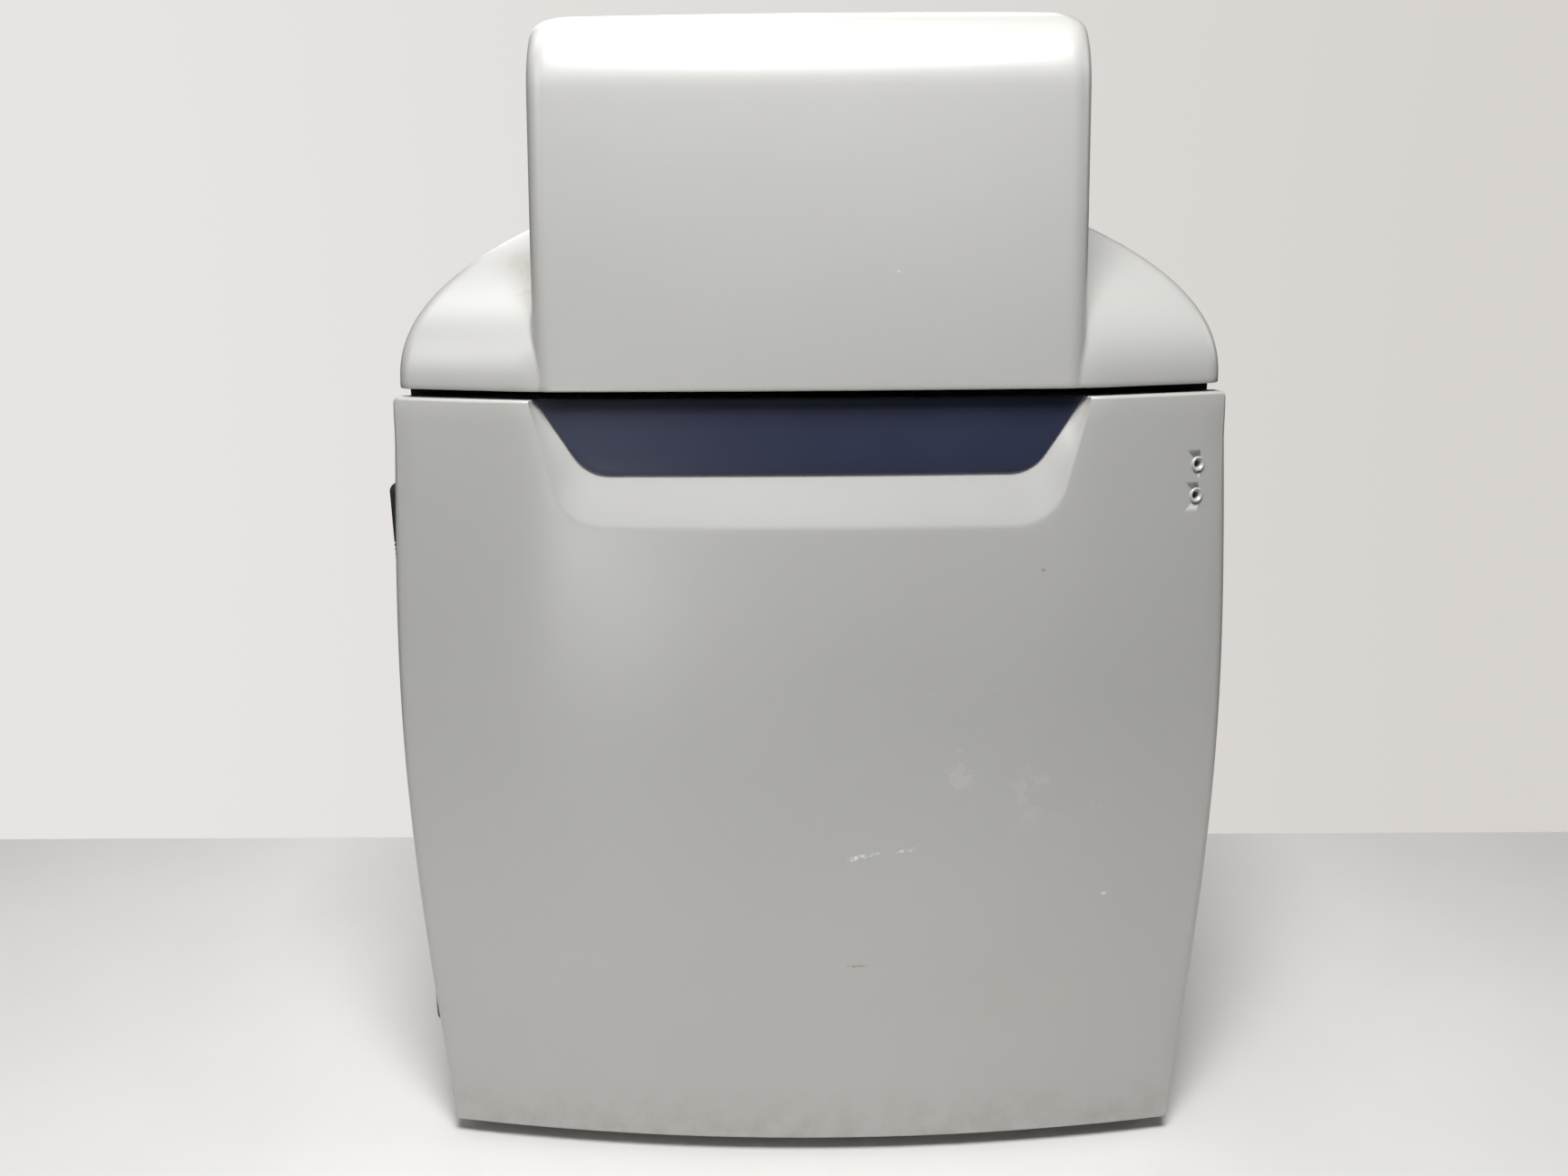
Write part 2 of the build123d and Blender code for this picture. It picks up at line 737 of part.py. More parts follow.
def chamber_liner():
    """Black folded liner: two sides, back and floor, open to the front and to the roof deck."""
    half = frame_opening_half + liner_sheet
    outer = block(-half, half, frame_back_y, liner_back_y + liner_sheet, liner_bottom_z, deck_z)
    inner = block(
        -frame_opening_half, frame_opening_half, frame_back_y - 1, liner_back_y,
        liner_bottom_z + liner_sheet, deck_z + 1,
    )
    rear_edges = outer.edges().filter_by(Axis.Z).sort_by(Axis.Y)[-2:]
    outer = fillet(rear_edges, 12)
    inner = fillet(inner.edges().filter_by(Axis.Z).sort_by(Axis.Y)[-2:], 12 - liner_sheet)
    return outer - inner


def roof_deck():
    """Plate over the chamber that carries the optics, with the lens opening."""
    half = cabinet_half_width - sheet - slip_gap
    plate = block(-half, half, frame_back_y, rear_sheet_y - sheet, deck_z, deck_z + deck_thickness)
    plate -= upright(lens_hole_radius, 0, optical_axis_y, deck_z - 1, deck_z + deck_thickness + 1)
    for side in (-1, 1):
        x0, x1 = sorted((side * (cabinet_half_width - flange - slip_gap), side * cabinet_half_width))
        fold = frame_back_y + sheet + slip_gap
        plate -= block(x0, x1, frame_back_y - 1, fold, deck_z - 1, deck_z + deck_thickness + 1)
    return plate


# Top cover


def shoulder_body(inset):
    """Bell-shaped shoulders: plan sections that draw in and lean back as they rise."""
    sections = []
    top_share = 1.0 - inset / shoulder_rise
    for index in range(shoulder_sections):
        share = index / (shoulder_sections - 1) * top_share
        fall = shoulder_fall * share ** shoulder_power
        half = cover_half_width - fall - inset
        y = front_y + shoulder_step + shoulder_lean * fall + inset
        crease = crease_x * half / cover_half_width
        corner_y = y + shoulder_wing_drop
        wing = FilletPolyline(
            (half, rear_face_y + 1), (half, corner_y), (crease, y), (-crease, y),
            (-half, corner_y), (-half, rear_face_y + 1),
            radius=(shoulder_corner - inset, 50, 50, shoulder_corner - inset),
        )
        z = cover_bottom_z + share * shoulder_rise - (inset if index == 0 else 0)
        closing = Line((-half, rear_face_y + 1), (half, rear_face_y + 1))
        sections.append(Pos(0, 0, z) * make_face(wing.edges() + [closing]))
    return loft(sections)


def hood_section(half, y, rear, z):
    """Plan outline of the hood with its gently bowed front."""
    bow = hood_front_bow * (half / hood_half_bottom) ** 2
    edges = [
        ThreePointArc((-half, y + bow), (0, y), (half, y + bow)),
        Line((half, y + bow), (half, rear)),
        Line((half, rear), (-half, rear)),
        Line((-half, rear), (-half, y + bow)),
    ]
    return Pos(0, 0, z) * make_face(edges)


def hood_body(inset):
    """Tall hood with a large round along its top front edge and smaller ones at its sides."""
    rear = rear_face_y + 1
    bottom = hood_section(hood_half_bottom - inset, front_y + inset, rear, cover_bottom_z - inset)
    top = hood_section(hood_half_top - inset, front_y + inset, rear, height - inset)
    hood = loft([bottom, top], ruled=True)
    top_face = hood.faces().sort_by(Axis.Z)[-1]
    front_edge = top_face.edges().sort_by(Axis.Y)[0]
    hood = fillet(front_edge, hood_front_round - inset)
    chain = hood.edges().filter_by(
        lambda e: e.center().Y < rear - 3 and abs(e.center().X) > hood_half_top - inset - 12
        and e.center().Z > cover_bottom_z + 5
    )
    return fillet(chain, hood_edge_round - inset)


def cover_body(inset):
    """Hood and shoulders together."""
    return hood_body(inset) + shoulder_body(inset)


def top_cover():
    """One-piece moulded cover, open below and at the rear."""
    shell = cover_body(0) - cover_body(cover_wall)
    reach = cover_half_width + 5
    shell &= block(-reach, reach, front_y - 5, rear_face_y, cover_bottom_z, height + 5)
    return shell


def hood_rear_panel():
    """Panel that closes the cover from behind, with the hood fan's hole."""
    plate = cover_body(cover_wall + seat_gap)
    low = cover_bottom_z + panel_overlap + seat_gap
    reach = cover_half_width + 5
    plate &= block(-reach, reach, hood_plate_y, hood_plate_y + sheet, low, height)
    plate -= punched_grille(0, hood_fan_z, hood_plate_y)
    for row in range(6):
        slot = Pos(0, hood_plate_y, low + 12 + row * 9) * Rot(90, 0, 0)
        plate -= slot * extrude(SlotOverall(120, 4), amount=6, both=True)
    return plate


# Side vent


def side_vent_cover():
    """Black louvred cover on the left: a shallow box with banks of slots that wrap its front corner."""
    x0 = -cabinet_half_width - vent_proud
    x1 = -cabinet_half_width
    y1 = vent_front_y + vent_length
    body = block(x0, x1, vent_front_y, y1, vent_bottom_z, vent_top_z)
    long_edges = body.edges().filter_by(Axis.Z).sort_by(Axis.X)[:2]
    body = fillet(long_edges, vent_round)
    end_edges = body.edges().filter_by(
        lambda e: e.center().X < x1 - 1 and (
            abs(e.center().Z - vent_bottom_z) < 0.01 or abs(e.center().Z - vent_top_z) < 0.01
        )
    )
    body = fillet(end_edges, 6)
    room = block(
        x0 + vent_wall, x1 + 1, vent_front_y + vent_wall, y1 - vent_wall,
        vent_bottom_z + vent_wall, vent_top_z - vent_wall,
    )
    room = fillet(room.edges().filter_by(Axis.Z).sort_by(Axis.X)[:2], vent_round - vent_wall)
    cover = body - room
    for bank in range(vent_banks):
        for row in range(vent_slots_per_bank):
            z = vent_first_slot_z + bank * vent_bank_pitch + row * vent_slot_pitch
            cover -= block(
                x0 - 1, x1 - 8, vent_front_y - 1, y1 - vent_round - 2, z, z + vent_slot
            ) - block(
                x0 + vent_wall + 1, x1 + 1, vent_front_y + vent_wall + 1, y1, z - 1, z + vent_slot + 1
            )
    return cover


# Gears


def gear_face(pitch_radius, teeth, inner_radius, phase):
    """Toothed disc outline with slim straight-sided teeth."""
    root = pitch_radius - 0.95 * gear_module
    tip = pitch_radius + 0.7 * gear_module
    step = 2 * pi / teeth
    points = []
    for index in range(teeth):
        middle = phase + index * step
        for radius, share in ((root, -0.24), (tip, -0.1), (tip, 0.1), (root, 0.24)):
            angle = middle + share * step
            points.append((radius * cos(angle), radius * sin(angle)))
    face = make_face(Polyline(*points, close=True))
    if inner_radius > 0:
        face -= Circle(inner_radius)
    return face


def gear(pitch_radius, teeth, inner_radius, phase, x, y, z0, z1):
    """Gear standing along Z."""
    return extrude(Pos(x, y, z0) * gear_face(pitch_radius, teeth, inner_radius, phase), amount=z1 - z0)


# Filter wheel


def wheel_motor_place():
    """Axis of the filter wheel's motor."""
    reach = filter_wheel_radius + pinion_pitch_radius
    return reach * cos(wheel_motor_angle), wheel_axis_y + reach * sin(wheel_motor_angle)


def pinion_phase(direction, wheel_phase, big_teeth):
    """Turns a pinion so that its gap meets the tooth of the big gear that points at it."""
    step_big = 2 * pi / big_teeth
    step_small = 2 * pi / pinion_teeth
    offset = ((direction - wheel_phase) / step_big) % 1
    return direction + pi + step_small / 2 + offset * step_small


def filter_places():
    """Centres of the filters round the wheel; the first lies on the optical axis."""
    places = []
    for index in range(filter_count):
        angle = -pi / 2 + index * 2 * pi / filter_count
        places.append((filter_circle_radius * cos(angle), wheel_axis_y + filter_circle_radius * sin(angle)))
    return places


def filter_wheel():
    """Toothed wheel with stepped seats for the filters."""
    wheel = gear(filter_wheel_radius, wheel_teeth, 4 + shaft_gap, 0, 0, wheel_axis_y, wheel_z0, wheel_z1)
    for x, y in filter_places():
        wheel -= upright(filter_radius - 1.5, x, y, wheel_z0 - 1, wheel_z1 + 1)
        wheel -= upright(filter_radius + shaft_gap, x, y, wheel_z1 - filter_thickness, wheel_z1 + 1)
    return wheel


def filter_glasses():
    """Round filters resting in their seats."""
    return [
        upright(filter_radius, x, y, wheel_z1 - filter_thickness, wheel_z1) for x, y in filter_places()
    ]


def wheel_case():
    """Flat case round the filter wheel with a tube for the light path and a fixed axle."""
    z0 = case_z
    z1 = case_top_z
    reach = filter_wheel_radius + 4
    body = upright(reach, 0, wheel_axis_y, z0, z1)
    room = upright(reach - wheel_case_wall, 0, wheel_axis_y, z0 + 3, z1 - 3)
    x, y = wheel_motor_place()
    lobe = upright(pinion_pitch_radius + 5, x, y, z0, z1)
    lobe_room = upright(pinion_pitch_radius + 5 - wheel_case_wall, x, y, z0 + 3, z1 - 3)
    case = (body + lobe) - (room + lobe_room)
    case -= upright(lens_hole_radius - 8, 0, optical_axis_y, z0 - 1, z1 + 1)
    case -= upright(3.2, x, y, z1 - 4, z1 + 1)
    boss = upright(9, 0, wheel_axis_y, z0 + 2, wheel_z0 - 0.4)
    axle = upright(4, 0, wheel_axis_y, z0 + 2, z1 - 2)
    return case + boss + axle


def motor(x, y, low, high, bore_low, bore_high):
    """Small gearmotor: a grooved can, bored for the pinion's shaft."""
    can = upright(motor_radius, x, y, low, high)
    for share in (0.3, 0.7):
        z = low + share * (high - low)
        groove = upright(motor_radius + 1, x, y, z - 0.6, z + 0.6) - upright(
            motor_radius - 0.7, x, y, z - 1, z + 1
        )
        can -= groove
    return can - upright(1.5 + shaft_gap, x, y, bore_low, bore_high)


def wheel_pinion():
    """Pinion with its shaft in the motor."""
    x, y = wheel_motor_place()
    phase = pinion_phase(wheel_motor_angle, 0, wheel_teeth)
    body = gear(pinion_pitch_radius, pinion_teeth, 0, phase, x, y, wheel_z0, wheel_z1)
    return body + upright(1.5, x, y, wheel_z1 - 1, case_top_z + 9)


# Lens, camera and their shelf


def lens_ring(name):
    """One toothed ring that turns on the lens barrel."""
    _, z0, z1, bore = ring_by_name(name)
    return gear(ring_pitch_radius, ring_teeth, bore + shaft_gap, 0, 0, optical_axis_y, z0, z1)


def ring_by_name(name):
    """Angle of one ring's motor, its underside, its top side and its bore radius."""
    _, angle, hang, bore = [row for row in ring_list if row[0] == name][0]
    return angle, shelf_z - hang, shelf_z - hang + ring_thickness, bore


def lens_barrel():
    """Stepped zoom lens: hood, front cell, three ring seats, mount flange and a hollow bore."""
    top = shelf_z
    _, focus_z0, focus_z1, focus_bore = ring_by_name("focus")
    _, zoom_z0, zoom_z1, zoom_bore = ring_by_name("zoom")
    profile = [
        (24, lens_base_z), (43, lens_base_z), (43, focus_z0 - 1.5), (focus_bore, focus_z0 - 1.5),
        (focus_bore, focus_z1 + 1.5), (41, focus_z1 + 1.5), (41, zoom_z0 - 1.5), (zoom_bore, zoom_z0 - 1.5),
        (zoom_bore, zoom_z1 + 0.5), (40, zoom_z1 + 0.5), (40, top - 23.5), (34, top - 20), (34, top - 10.5),
        (36, top - 9), (36, top), (20, top), (20, top - 36), (24, top - 46),
    ]
    outline = make_face(Polyline(*[(r, 0, z) for r, z in profile], close=True))
    return Pos(0, optical_axis_y, 0) * revolve(outline, Axis.Z)


def lens_glasses():
    """Front and rear lens elements."""
    front = upright(24 - shaft_gap, 0, optical_axis_y, lens_base_z + 6, lens_base_z + 16)
    dome = Pos(0, optical_axis_y, lens_base_z + 46) * Sphere(41)
    front = front & dome
    rear = upright(20 - shaft_gap, 0, optical_axis_y, shelf_z - 26, shelf_z - 20)
    return [front, rear]


def ring_motor_place(angle):
    """Axis of a ring's motor."""
    reach = ring_pitch_radius + pinion_pitch_radius
    return reach * cos(angle), optical_axis_y + reach * sin(angle)


def gear_motors():
    """Focus and zoom motors hang from the shelf; the wheel's motor stands on its case."""
    parts = []
    low = shelf_z - motor_length
    for _, angle, _, _ in ring_list:
        x, y = ring_motor_place(angle)
        parts.append(motor(x, y, low, shelf_z, low - 1, shelf_z - 12))
    x, y = wheel_motor_place()
    parts.append(motor(x, y, case_top_z, case_top_z + motor_length, case_top_z - 1, case_top_z + 10))
    return parts


def ring_pinion(name):
    """Pinion of one ring, with its shaft reaching into the motor."""
    angle, z0, z1, _ = ring_by_name(name)
    x, y = ring_motor_place(angle)
    phase = pinion_phase(angle, 0, ring_teeth)
    body = gear(pinion_pitch_radius, pinion_teeth, 0, phase, x, y, z0, z1)
    return body + upright(1.5, x, y, z1 - 1, shelf_z - 13)


def camera_shelf():
    """Plate that the camera stands on, with a hole for the lens flange."""
    plate = block(
        -post_x - 12, post_x + 12, post_front_y - 12, post_rear_y + 12, shelf_z, shelf_z + shelf_thickness
    )
    plate = fillet(plate.edges().filter_by(Axis.Z), 10)
    plate -= upright(22, 0, optical_axis_y, shelf_z - 1, shelf_z + shelf_thickness + 1)
    for x in (-post_x, post_x):
        for y in (post_front_y, post_rear_y):
            plate -= upright(3.2, x, y, shelf_z - 1, shelf_z + shelf_thickness + 1)
    return plate


def shelf_posts():
    """Four turned posts between deck and shelf, with a threaded end through the shelf."""
    parts = []
    for x in (-post_x, post_x):
        for y in (post_front_y, post_rear_y):
            post = upright(post_radius, x, y, deck_z + deck_thickness, shelf_z)
            stud = upright(3, x, y, shelf_z - 1, shelf_z + shelf_thickness + 5)
            nut = extrude(
                Pos(x, y, shelf_z + shelf_thickness) * RegularPolygon(5.5, 6), amount=4
            )
            parts.append(post + stud + nut)
    return parts


def camera_body():
    """Cooled camera: square body with cooling fins on two sides."""
    z0 = shelf_z + shelf_thickness
    z1 = z0 + camera_height
    half = camera_width / 2
    body = block(-half, half, optical_axis_y - half, optical_axis_y + half, z0, z1)
    body = fillet(body.edges().filter_by(Axis.Z), 6)
    fin_pitch = (camera_width - 28) / (camera_fins - 1)
    for side in (-1, 1):
        for row in range(camera_fins):
            y = optical_axis_y - half + 14 + row * fin_pitch
            outer = side * (half + 1)
            inner = side * (half - 9)
            body -= block(min(inner, outer), max(inner, outer), y - 3, y + 3, z0 + 8, z1 + 1)
    body -= upright(18, 0, optical_axis_y, z0 - 1, z0 + 20)
    return body


# Transilluminator


def table_housing():
    """Transilluminator case with a stepped window for the filter glass."""
    z0 = liner_bottom_z + liner_sheet
    case = block(-table_half_x, table_half_x, table_front_y, table_rear_y, z0, table_top_z)
    case = fillet(case.edges().filter_by(Axis.Z), 8)
    case = fillet(case.faces().sort_by(Axis.Z)[-1].edges(), 3)
    room = block(
        -table_half_x + sheet, table_half_x - sheet, table_front_y + sheet, table_rear_y - sheet,
        z0 + sheet, table_top_z - 6,
    )
    case -= room
    x = table_window_x / 2
    y = table_window_y / 2
    case -= block(-x, x, table_centre_y - y, table_centre_y + y, table_top_z - 8, table_top_z + 1)
    seat = 5
    case -= block(
        -x - seat, x + seat, table_centre_y - y - seat, table_centre_y + y + seat,
        table_top_z - table_glass, table_top_z + 1,
    )
    return case


def table_glass_plate():
    """Dark filter glass in the window."""
    x = table_window_x / 2 + 5 - seat_gap
    y = table_window_y / 2 + 5 - seat_gap
    return block(
        -x, x, table_centre_y - y, table_centre_y + y, table_top_z - table_glass, table_top_z
    )


def lamp_places():
    """Lamp axes, evenly spaced from front to back."""
    pitch = table_window_y / lamp_count
    return [table_centre_y + (index - (lamp_count - 1) / 2) * pitch for index in range(lamp_count)]


def reflector_tray():
    """Folded reflector with one trough under each lamp."""
    pitch = table_window_y / lamp_count
    points = []
    for y in lamp_places():
        points += [(y - pitch / 2, lamp_z - 4), (y - pitch / 4, lamp_z - 14), (y + pitch / 4, lamp_z - 14)]
    points.append((lamp_places()[-1] + pitch / 2, lamp_z - 4))
    under = [(y, z - 1.2) for y, z in reversed(points)]
    face = make_face(Polyline(*[(0, y, z) for y, z in points + under], close=True))
    half = lamp_length / 2
    return extrude(face, amount=half, dir=(1, 0, 0), both=True)


def lamp_holders():
    """End blocks that hold the lamps and stand on the floor of the case."""
    parts = []
    half = lamp_length / 2
    for side in (-1, 1):
        x0, x1 = sorted((side * (half - 6), side * (half + 10)))
        holder = block(
            x0, x1, table_centre_y - table_window_y / 2 - 3, table_centre_y + table_window_y / 2 + 3,
            liner_bottom_z + liner_sheet + sheet, lamp_z + 12,
        )
        for y in lamp_places():
            holder -= along_x(lamp_diameter / 2 + shaft_gap, y, lamp_z, -half, half)
        tray_room = block(
            -half, half, table_centre_y - table_window_y / 2 - seat_gap,
            table_centre_y + table_window_y / 2 + seat_gap, lamp_z - 16, lamp_z - 2,
        )
        parts.append(holder - tray_room)
    return parts


def uv_lamps():
    """Tube lamps between the holders."""
    half = lamp_length / 2
    return [along_x(lamp_diameter / 2, y, lamp_z, -half, half) for y in lamp_places()]


def lamp_ballast():
    """Electronic ballast behind the lamps, on the floor of the case."""
    z0 = liner_bottom_z + liner_sheet + sheet
    y0 = table_centre_y - table_window_y / 2 + 20
    half = lamp_length / 2 - 34
    body = block(-half, half, y0, y0 + 60, z0, z0 + 17)
    return chamfer(body.edges().filter_by(Axis.X), 2)


def converter_opening(inset, z0, z1):
    """Block inside the converter frame, set in from its rim."""
    return block(
        -converter_half_x + inset, converter_half_x - inset, converter_front_y + inset,
        converter_rear_y - inset, z0, z1,
    )


def converter_frame():
    """Flip-up frame round the converter screen, with two hinge barrels and two rest pads."""
    z0 = converter_z
    z1 = z0 + converter_thickness
    outer = converter_opening(0, z0, z1)
    outer = fillet(outer.edges().filter_by(Axis.Z), 8)
    hole = converter_opening(converter_rim + converter_ledge, z0 - 1, z1 + 1)
    seat = converter_opening(converter_rim, z0 + converter_seat, z1 + 1)
    frame = outer - hole - seat
    for x in (-converter_hinge_x, converter_hinge_x):
        frame += block(x - 12, x + 12, converter_rear_y - 3, converter_axis_y, z0, z1)
        frame += along_x(converter_thickness / 2, converter_axis_y, converter_axis_z, x - 12, x + 12)
        frame += upright(3, x, converter_front_y + 6, table_top_z + seat_gap, z0 + 1)
    for x in (-converter_hinge_x, converter_hinge_x):
        pin_room = converter_pin_radius + shaft_gap
        frame -= along_x(pin_room, converter_axis_y, converter_axis_z, x - 13, x + 13)
    return frame


def converter_screen():
    """Milky screen resting in the frame."""
    return converter_opening(
        converter_rim + seat_gap, converter_z + converter_seat, converter_z + converter_thickness
    )


def converter_hinges():
    """Two fixed hinge forks with their pins, on the transilluminator case."""
    parts = []
    y0 = converter_axis_y - 4
    y1 = converter_axis_y + 4
    for x in (-converter_hinge_x, converter_hinge_x):
        fork = block(x - 15.4, x + 15.4, y0, y1, table_top_z, table_top_z + 1.2)
        for side in (-1, 1):
            x0, x1 = sorted((x + side * 12.4, x + side * 15.4))
            fork += block(x0, x1, y0, y1, table_top_z, converter_axis_z)
            fork += along_x(4, converter_axis_y, converter_axis_z, x0, x1)
        fork += along_x(converter_pin_radius, converter_axis_y, converter_axis_z, x - 15.4, x + 15.4)
        parts.append(fork)
    return parts


# Epi lights


def epi_prism(side, profile, half_length):
    """Prism along Y from a profile of steps in from a chamber wall and down from the deck."""
    wall = side * frame_opening_half
    points = [(wall - side * inward, optical_axis_y, deck_z - down) for inward, down in profile]
    face = make_face(Polyline(*points, close=True))
    return extrude(face, amount=half_length, dir=(0, 1, 0), both=True)


def epi_light(side):
    """Trough housing in an upper corner of the chamber, its open face aimed at the table."""
    outer = epi_prism(side, [(0, 52), (4, 52), (46, 10), (46, 2), (0, 2)], epi_half_length)
    inner = epi_prism(side, [(2, 44), (6, 52), (50, 10), (40, 5), (2, 5)], epi_half_length - 2)
    return outer - inner


def epi_diffusers():
    """Opal strips over the troughs."""
    profile = [(6.5, 48), (41.5, 12.5), (39.5, 10.5), (4.5, 46)]
    return [epi_prism(side, profile, epi_half_length - 2) for side in (-1, 1)]


# Fans


def fan_frame(x, z, y1):
    """Square fan frame whose rear face lies at y1."""
    half = fan_size / 2
    y0 = y1 - fan_depth
    frame = block(x - half, x + half, y0, y1, z - half, z + half)
    frame = fillet(frame.edges().filter_by(Axis.Y), 5)
    frame -= along_y(half - 2, x, z, y0 - 1, y1 + 1)
    hub = along_y(14, x, z, y0, y0 + 4)
    axle = along_y(2, x, z, y0 + 3, y1 - 5)
    for turn in range(4):
        arm = Pos(x, y0 + 1.5, z) * Rot(0, 45 + 90 * turn, 0) * Pos(half / 2, 0, 0) * Box(half, 3, 4)
        frame += arm & along_y(half - 1, x, z, y0, y0 + 3)
    return frame + hub + axle


def fan_rotor(x, z, y1):
    """Hub with pitched blades, running on the frame's axle."""
    y0 = y1 - fan_depth
    hub = along_y(15, x, z, y0 + 4.8, y1 - 3)
    bore = along_y(2 + shaft_gap, x, z, y0 + 4, y1 - 4.5)
    rotor = hub
    blade_reach = fan_size / 2 - 3.5
    for index in range(fan_blades):
        blade = Pos(blade_reach / 2 + 6, 0, 0) * Rot(38, 0, 0) * Box(blade_reach - 12, 1.6, 22)
        rotor += Pos(x, (y0 + y1) / 2 + 0.6, z) * Rot(0, index * 360 / fan_blades, 0) * blade
    rotor &= along_y(blade_reach, x, z, y0 + 4.8, y1 - 3)
    return rotor - bore


# Power and control


def power_supply():
    """Enclosed supply on the base pan with a slotted top."""
    x0 = -cabinet_half_width + 28.5
    y0 = liner_back_y + 8
    y1 = rear_face_y - 9.5
    top = base_top_z + 52
    box = block(x0, x0 + 140, y0, y1, base_top_z, top)
    box = chamfer(box.edges().filter_by(Axis.X), 2)
    for row in range(8):
        x = x0 + 15 + row * 16
        box -= block(x, x + 4, y0 + 10, y1 - 10, top - 2, top + 1)
    return box


def control_board():
    """Circuit board with its parts, on spacers against the liner's back."""
    y = liner_back_y + liner_sheet
    low = deck_z - 246
    board = block(-120, 90, y + 8, y + 9.6, low, low + 160)
    for x in (-112, 82):
        for z in (low + 8, low + 152):
            board += along_y(3, x, z, y, y + 8)
    for x0, x1, z0, z1, rise in (
        (-100, -60, 20, 60, 4), (-30, 0, 30, 60, 3), (20, 70, 10, 30, 12), (-90, -20, 110, 130, 10),
        (20, 60, 80, 120, 5),
    ):
        board += block(x0, x1, y + 9.6, y + 9.6 + rise, low + z0, low + z1)
    return board


def power_inlet():
    """Mains inlet with a recessed socket and a slot for the fuse drawer."""
    y0 = rear_sheet_y - 20
    body = block(inlet_x - 14.6, inlet_x + 14.6, y0, rear_face_y, inlet_z - 25.6, inlet_z + 12.6)
    face = block(
        inlet_x - 18, inlet_x + 18, rear_face_y, rear_face_y + 2, inlet_z - 29, inlet_z + 16
    )
    face = fillet(face.edges().filter_by(Axis.Y), 2)
    recess = block(inlet_x - 12, inlet_x + 12, y0 + 4, rear_face_y + 3, inlet_z - 8.2, inlet_z + 8.2)
    recess = chamfer(recess.edges().filter_by(Axis.Y).sort_by(Axis.Z)[-2:], 4.5)
    drawer_room = block(
        inlet_x - 10.3, inlet_x + 10.3, rear_face_y - 14.3, rear_face_y + 3,
        inlet_z - 22.3, inlet_z - 11.7,
    )
    inlet = body + face - recess - drawer_room
    for x, z in ((-7, -2), (7, -2), (0, 2)):
        inlet += block(
            inlet_x + x - 1, inlet_x + x + 1, y0 + 3, rear_face_y - 3, inlet_z + z - 2, inlet_z + z + 2
        )
    return inlet


def fuse_drawer():
    """Drawer under the inlet, with a finger notch."""
    drawer = block(
        inlet_x - 10, inlet_x + 10, rear_face_y - 14, rear_face_y + 2.6, inlet_z - 22, inlet_z - 12
    )
    drawer -= block(
        inlet_x - 8, inlet_x + 8, rear_face_y - 12, rear_face_y - 1, inlet_z - 20, inlet_z - 11
    )
    notch = block(
        inlet_x - 4, inlet_x + 4, rear_face_y + 1.2, rear_face_y + 3, inlet_z - 13.6, inlet_z - 11
    )
    return drawer - notch


def switch_housing():
    """Frame of the power switch, bored for the rocker's trunnions."""
    body = block(
        switch_x - 10.2, switch_x + 10.2, rear_face_y - 16, rear_face_y, inlet_z - 13.6, inlet_z + 13.6
    )
    face = block(
        switch_x - 12.5, switch_x + 12.5, rear_face_y, rear_face_y + 1.2, inlet_z - 16, inlet_z + 16
    )
    room = block(
        switch_x - 8, switch_x + 8, rear_face_y - 12, rear_face_y + 2, inlet_z - 11.5, inlet_z + 11.5
    )
    pins = along_x(1.5 + shaft_gap, rear_face_y - 4, inlet_z, switch_x - 9.4, switch_x + 9.4)
    return body + face - room - pins


def power_rocker():
    """Rocker with a dished face and two trunnions."""
    core = block(
        switch_x - 7.6, switch_x + 7.6, rear_face_y - 6.5, rear_face_y + 2, inlet_z - 9.6, inlet_z + 9.6
    )
    dish = along_x(24, rear_face_y + 24.4, inlet_z, switch_x - 9, switch_x + 9)
    trunnions = along_x(1.5, rear_face_y - 4, inlet_z, switch_x - 9.2, switch_x + 9.2)
    tilt = Pos(switch_x, rear_face_y - 4, inlet_z) * Rot(rocker_angle / 2, 0, 0)
    return tilt * Pos(-switch_x, 4 - rear_face_y, -inlet_z) * (core - dish + trunnions)


def data_sockets():
    """Square data sockets in the rear panel."""
    parts = []
    for x in socket_places:
        body = block(x - 6.3, x + 6.3, rear_face_y - 15, rear_face_y + 0.8, inlet_z - 5.8, inlet_z + 5.8)
        mouth = block(x - 4.4, x + 4.4, rear_face_y - 10, rear_face_y + 1, inlet_z - 3.9, inlet_z + 3.9)
        tongue = block(x - 3.2, x + 3.2, rear_face_y - 11, rear_face_y - 5, inlet_z + 0.6, inlet_z + 2.6)
        rim = block(x - 7.4, x + 7.4, rear_face_y, rear_face_y + 0.8, inlet_z - 6.9, inlet_z + 6.9)
        parts.append(body + rim - mouth + tongue)
    return parts


def save(name, shape):
    """Writes one node; a list becomes a group of separate solids."""
    if isinstance(shape, (list, tuple)):
        shape = Compound(children=[piece for item in shape for piece in item.solids()])
    elif len(shape.solids()) == 1:
        shape = shape.solids()[0]
    else:
        shape = Compound(children=list(shape.solids()))
    export_step(shape, os.path.join("parts", name + ".step"))


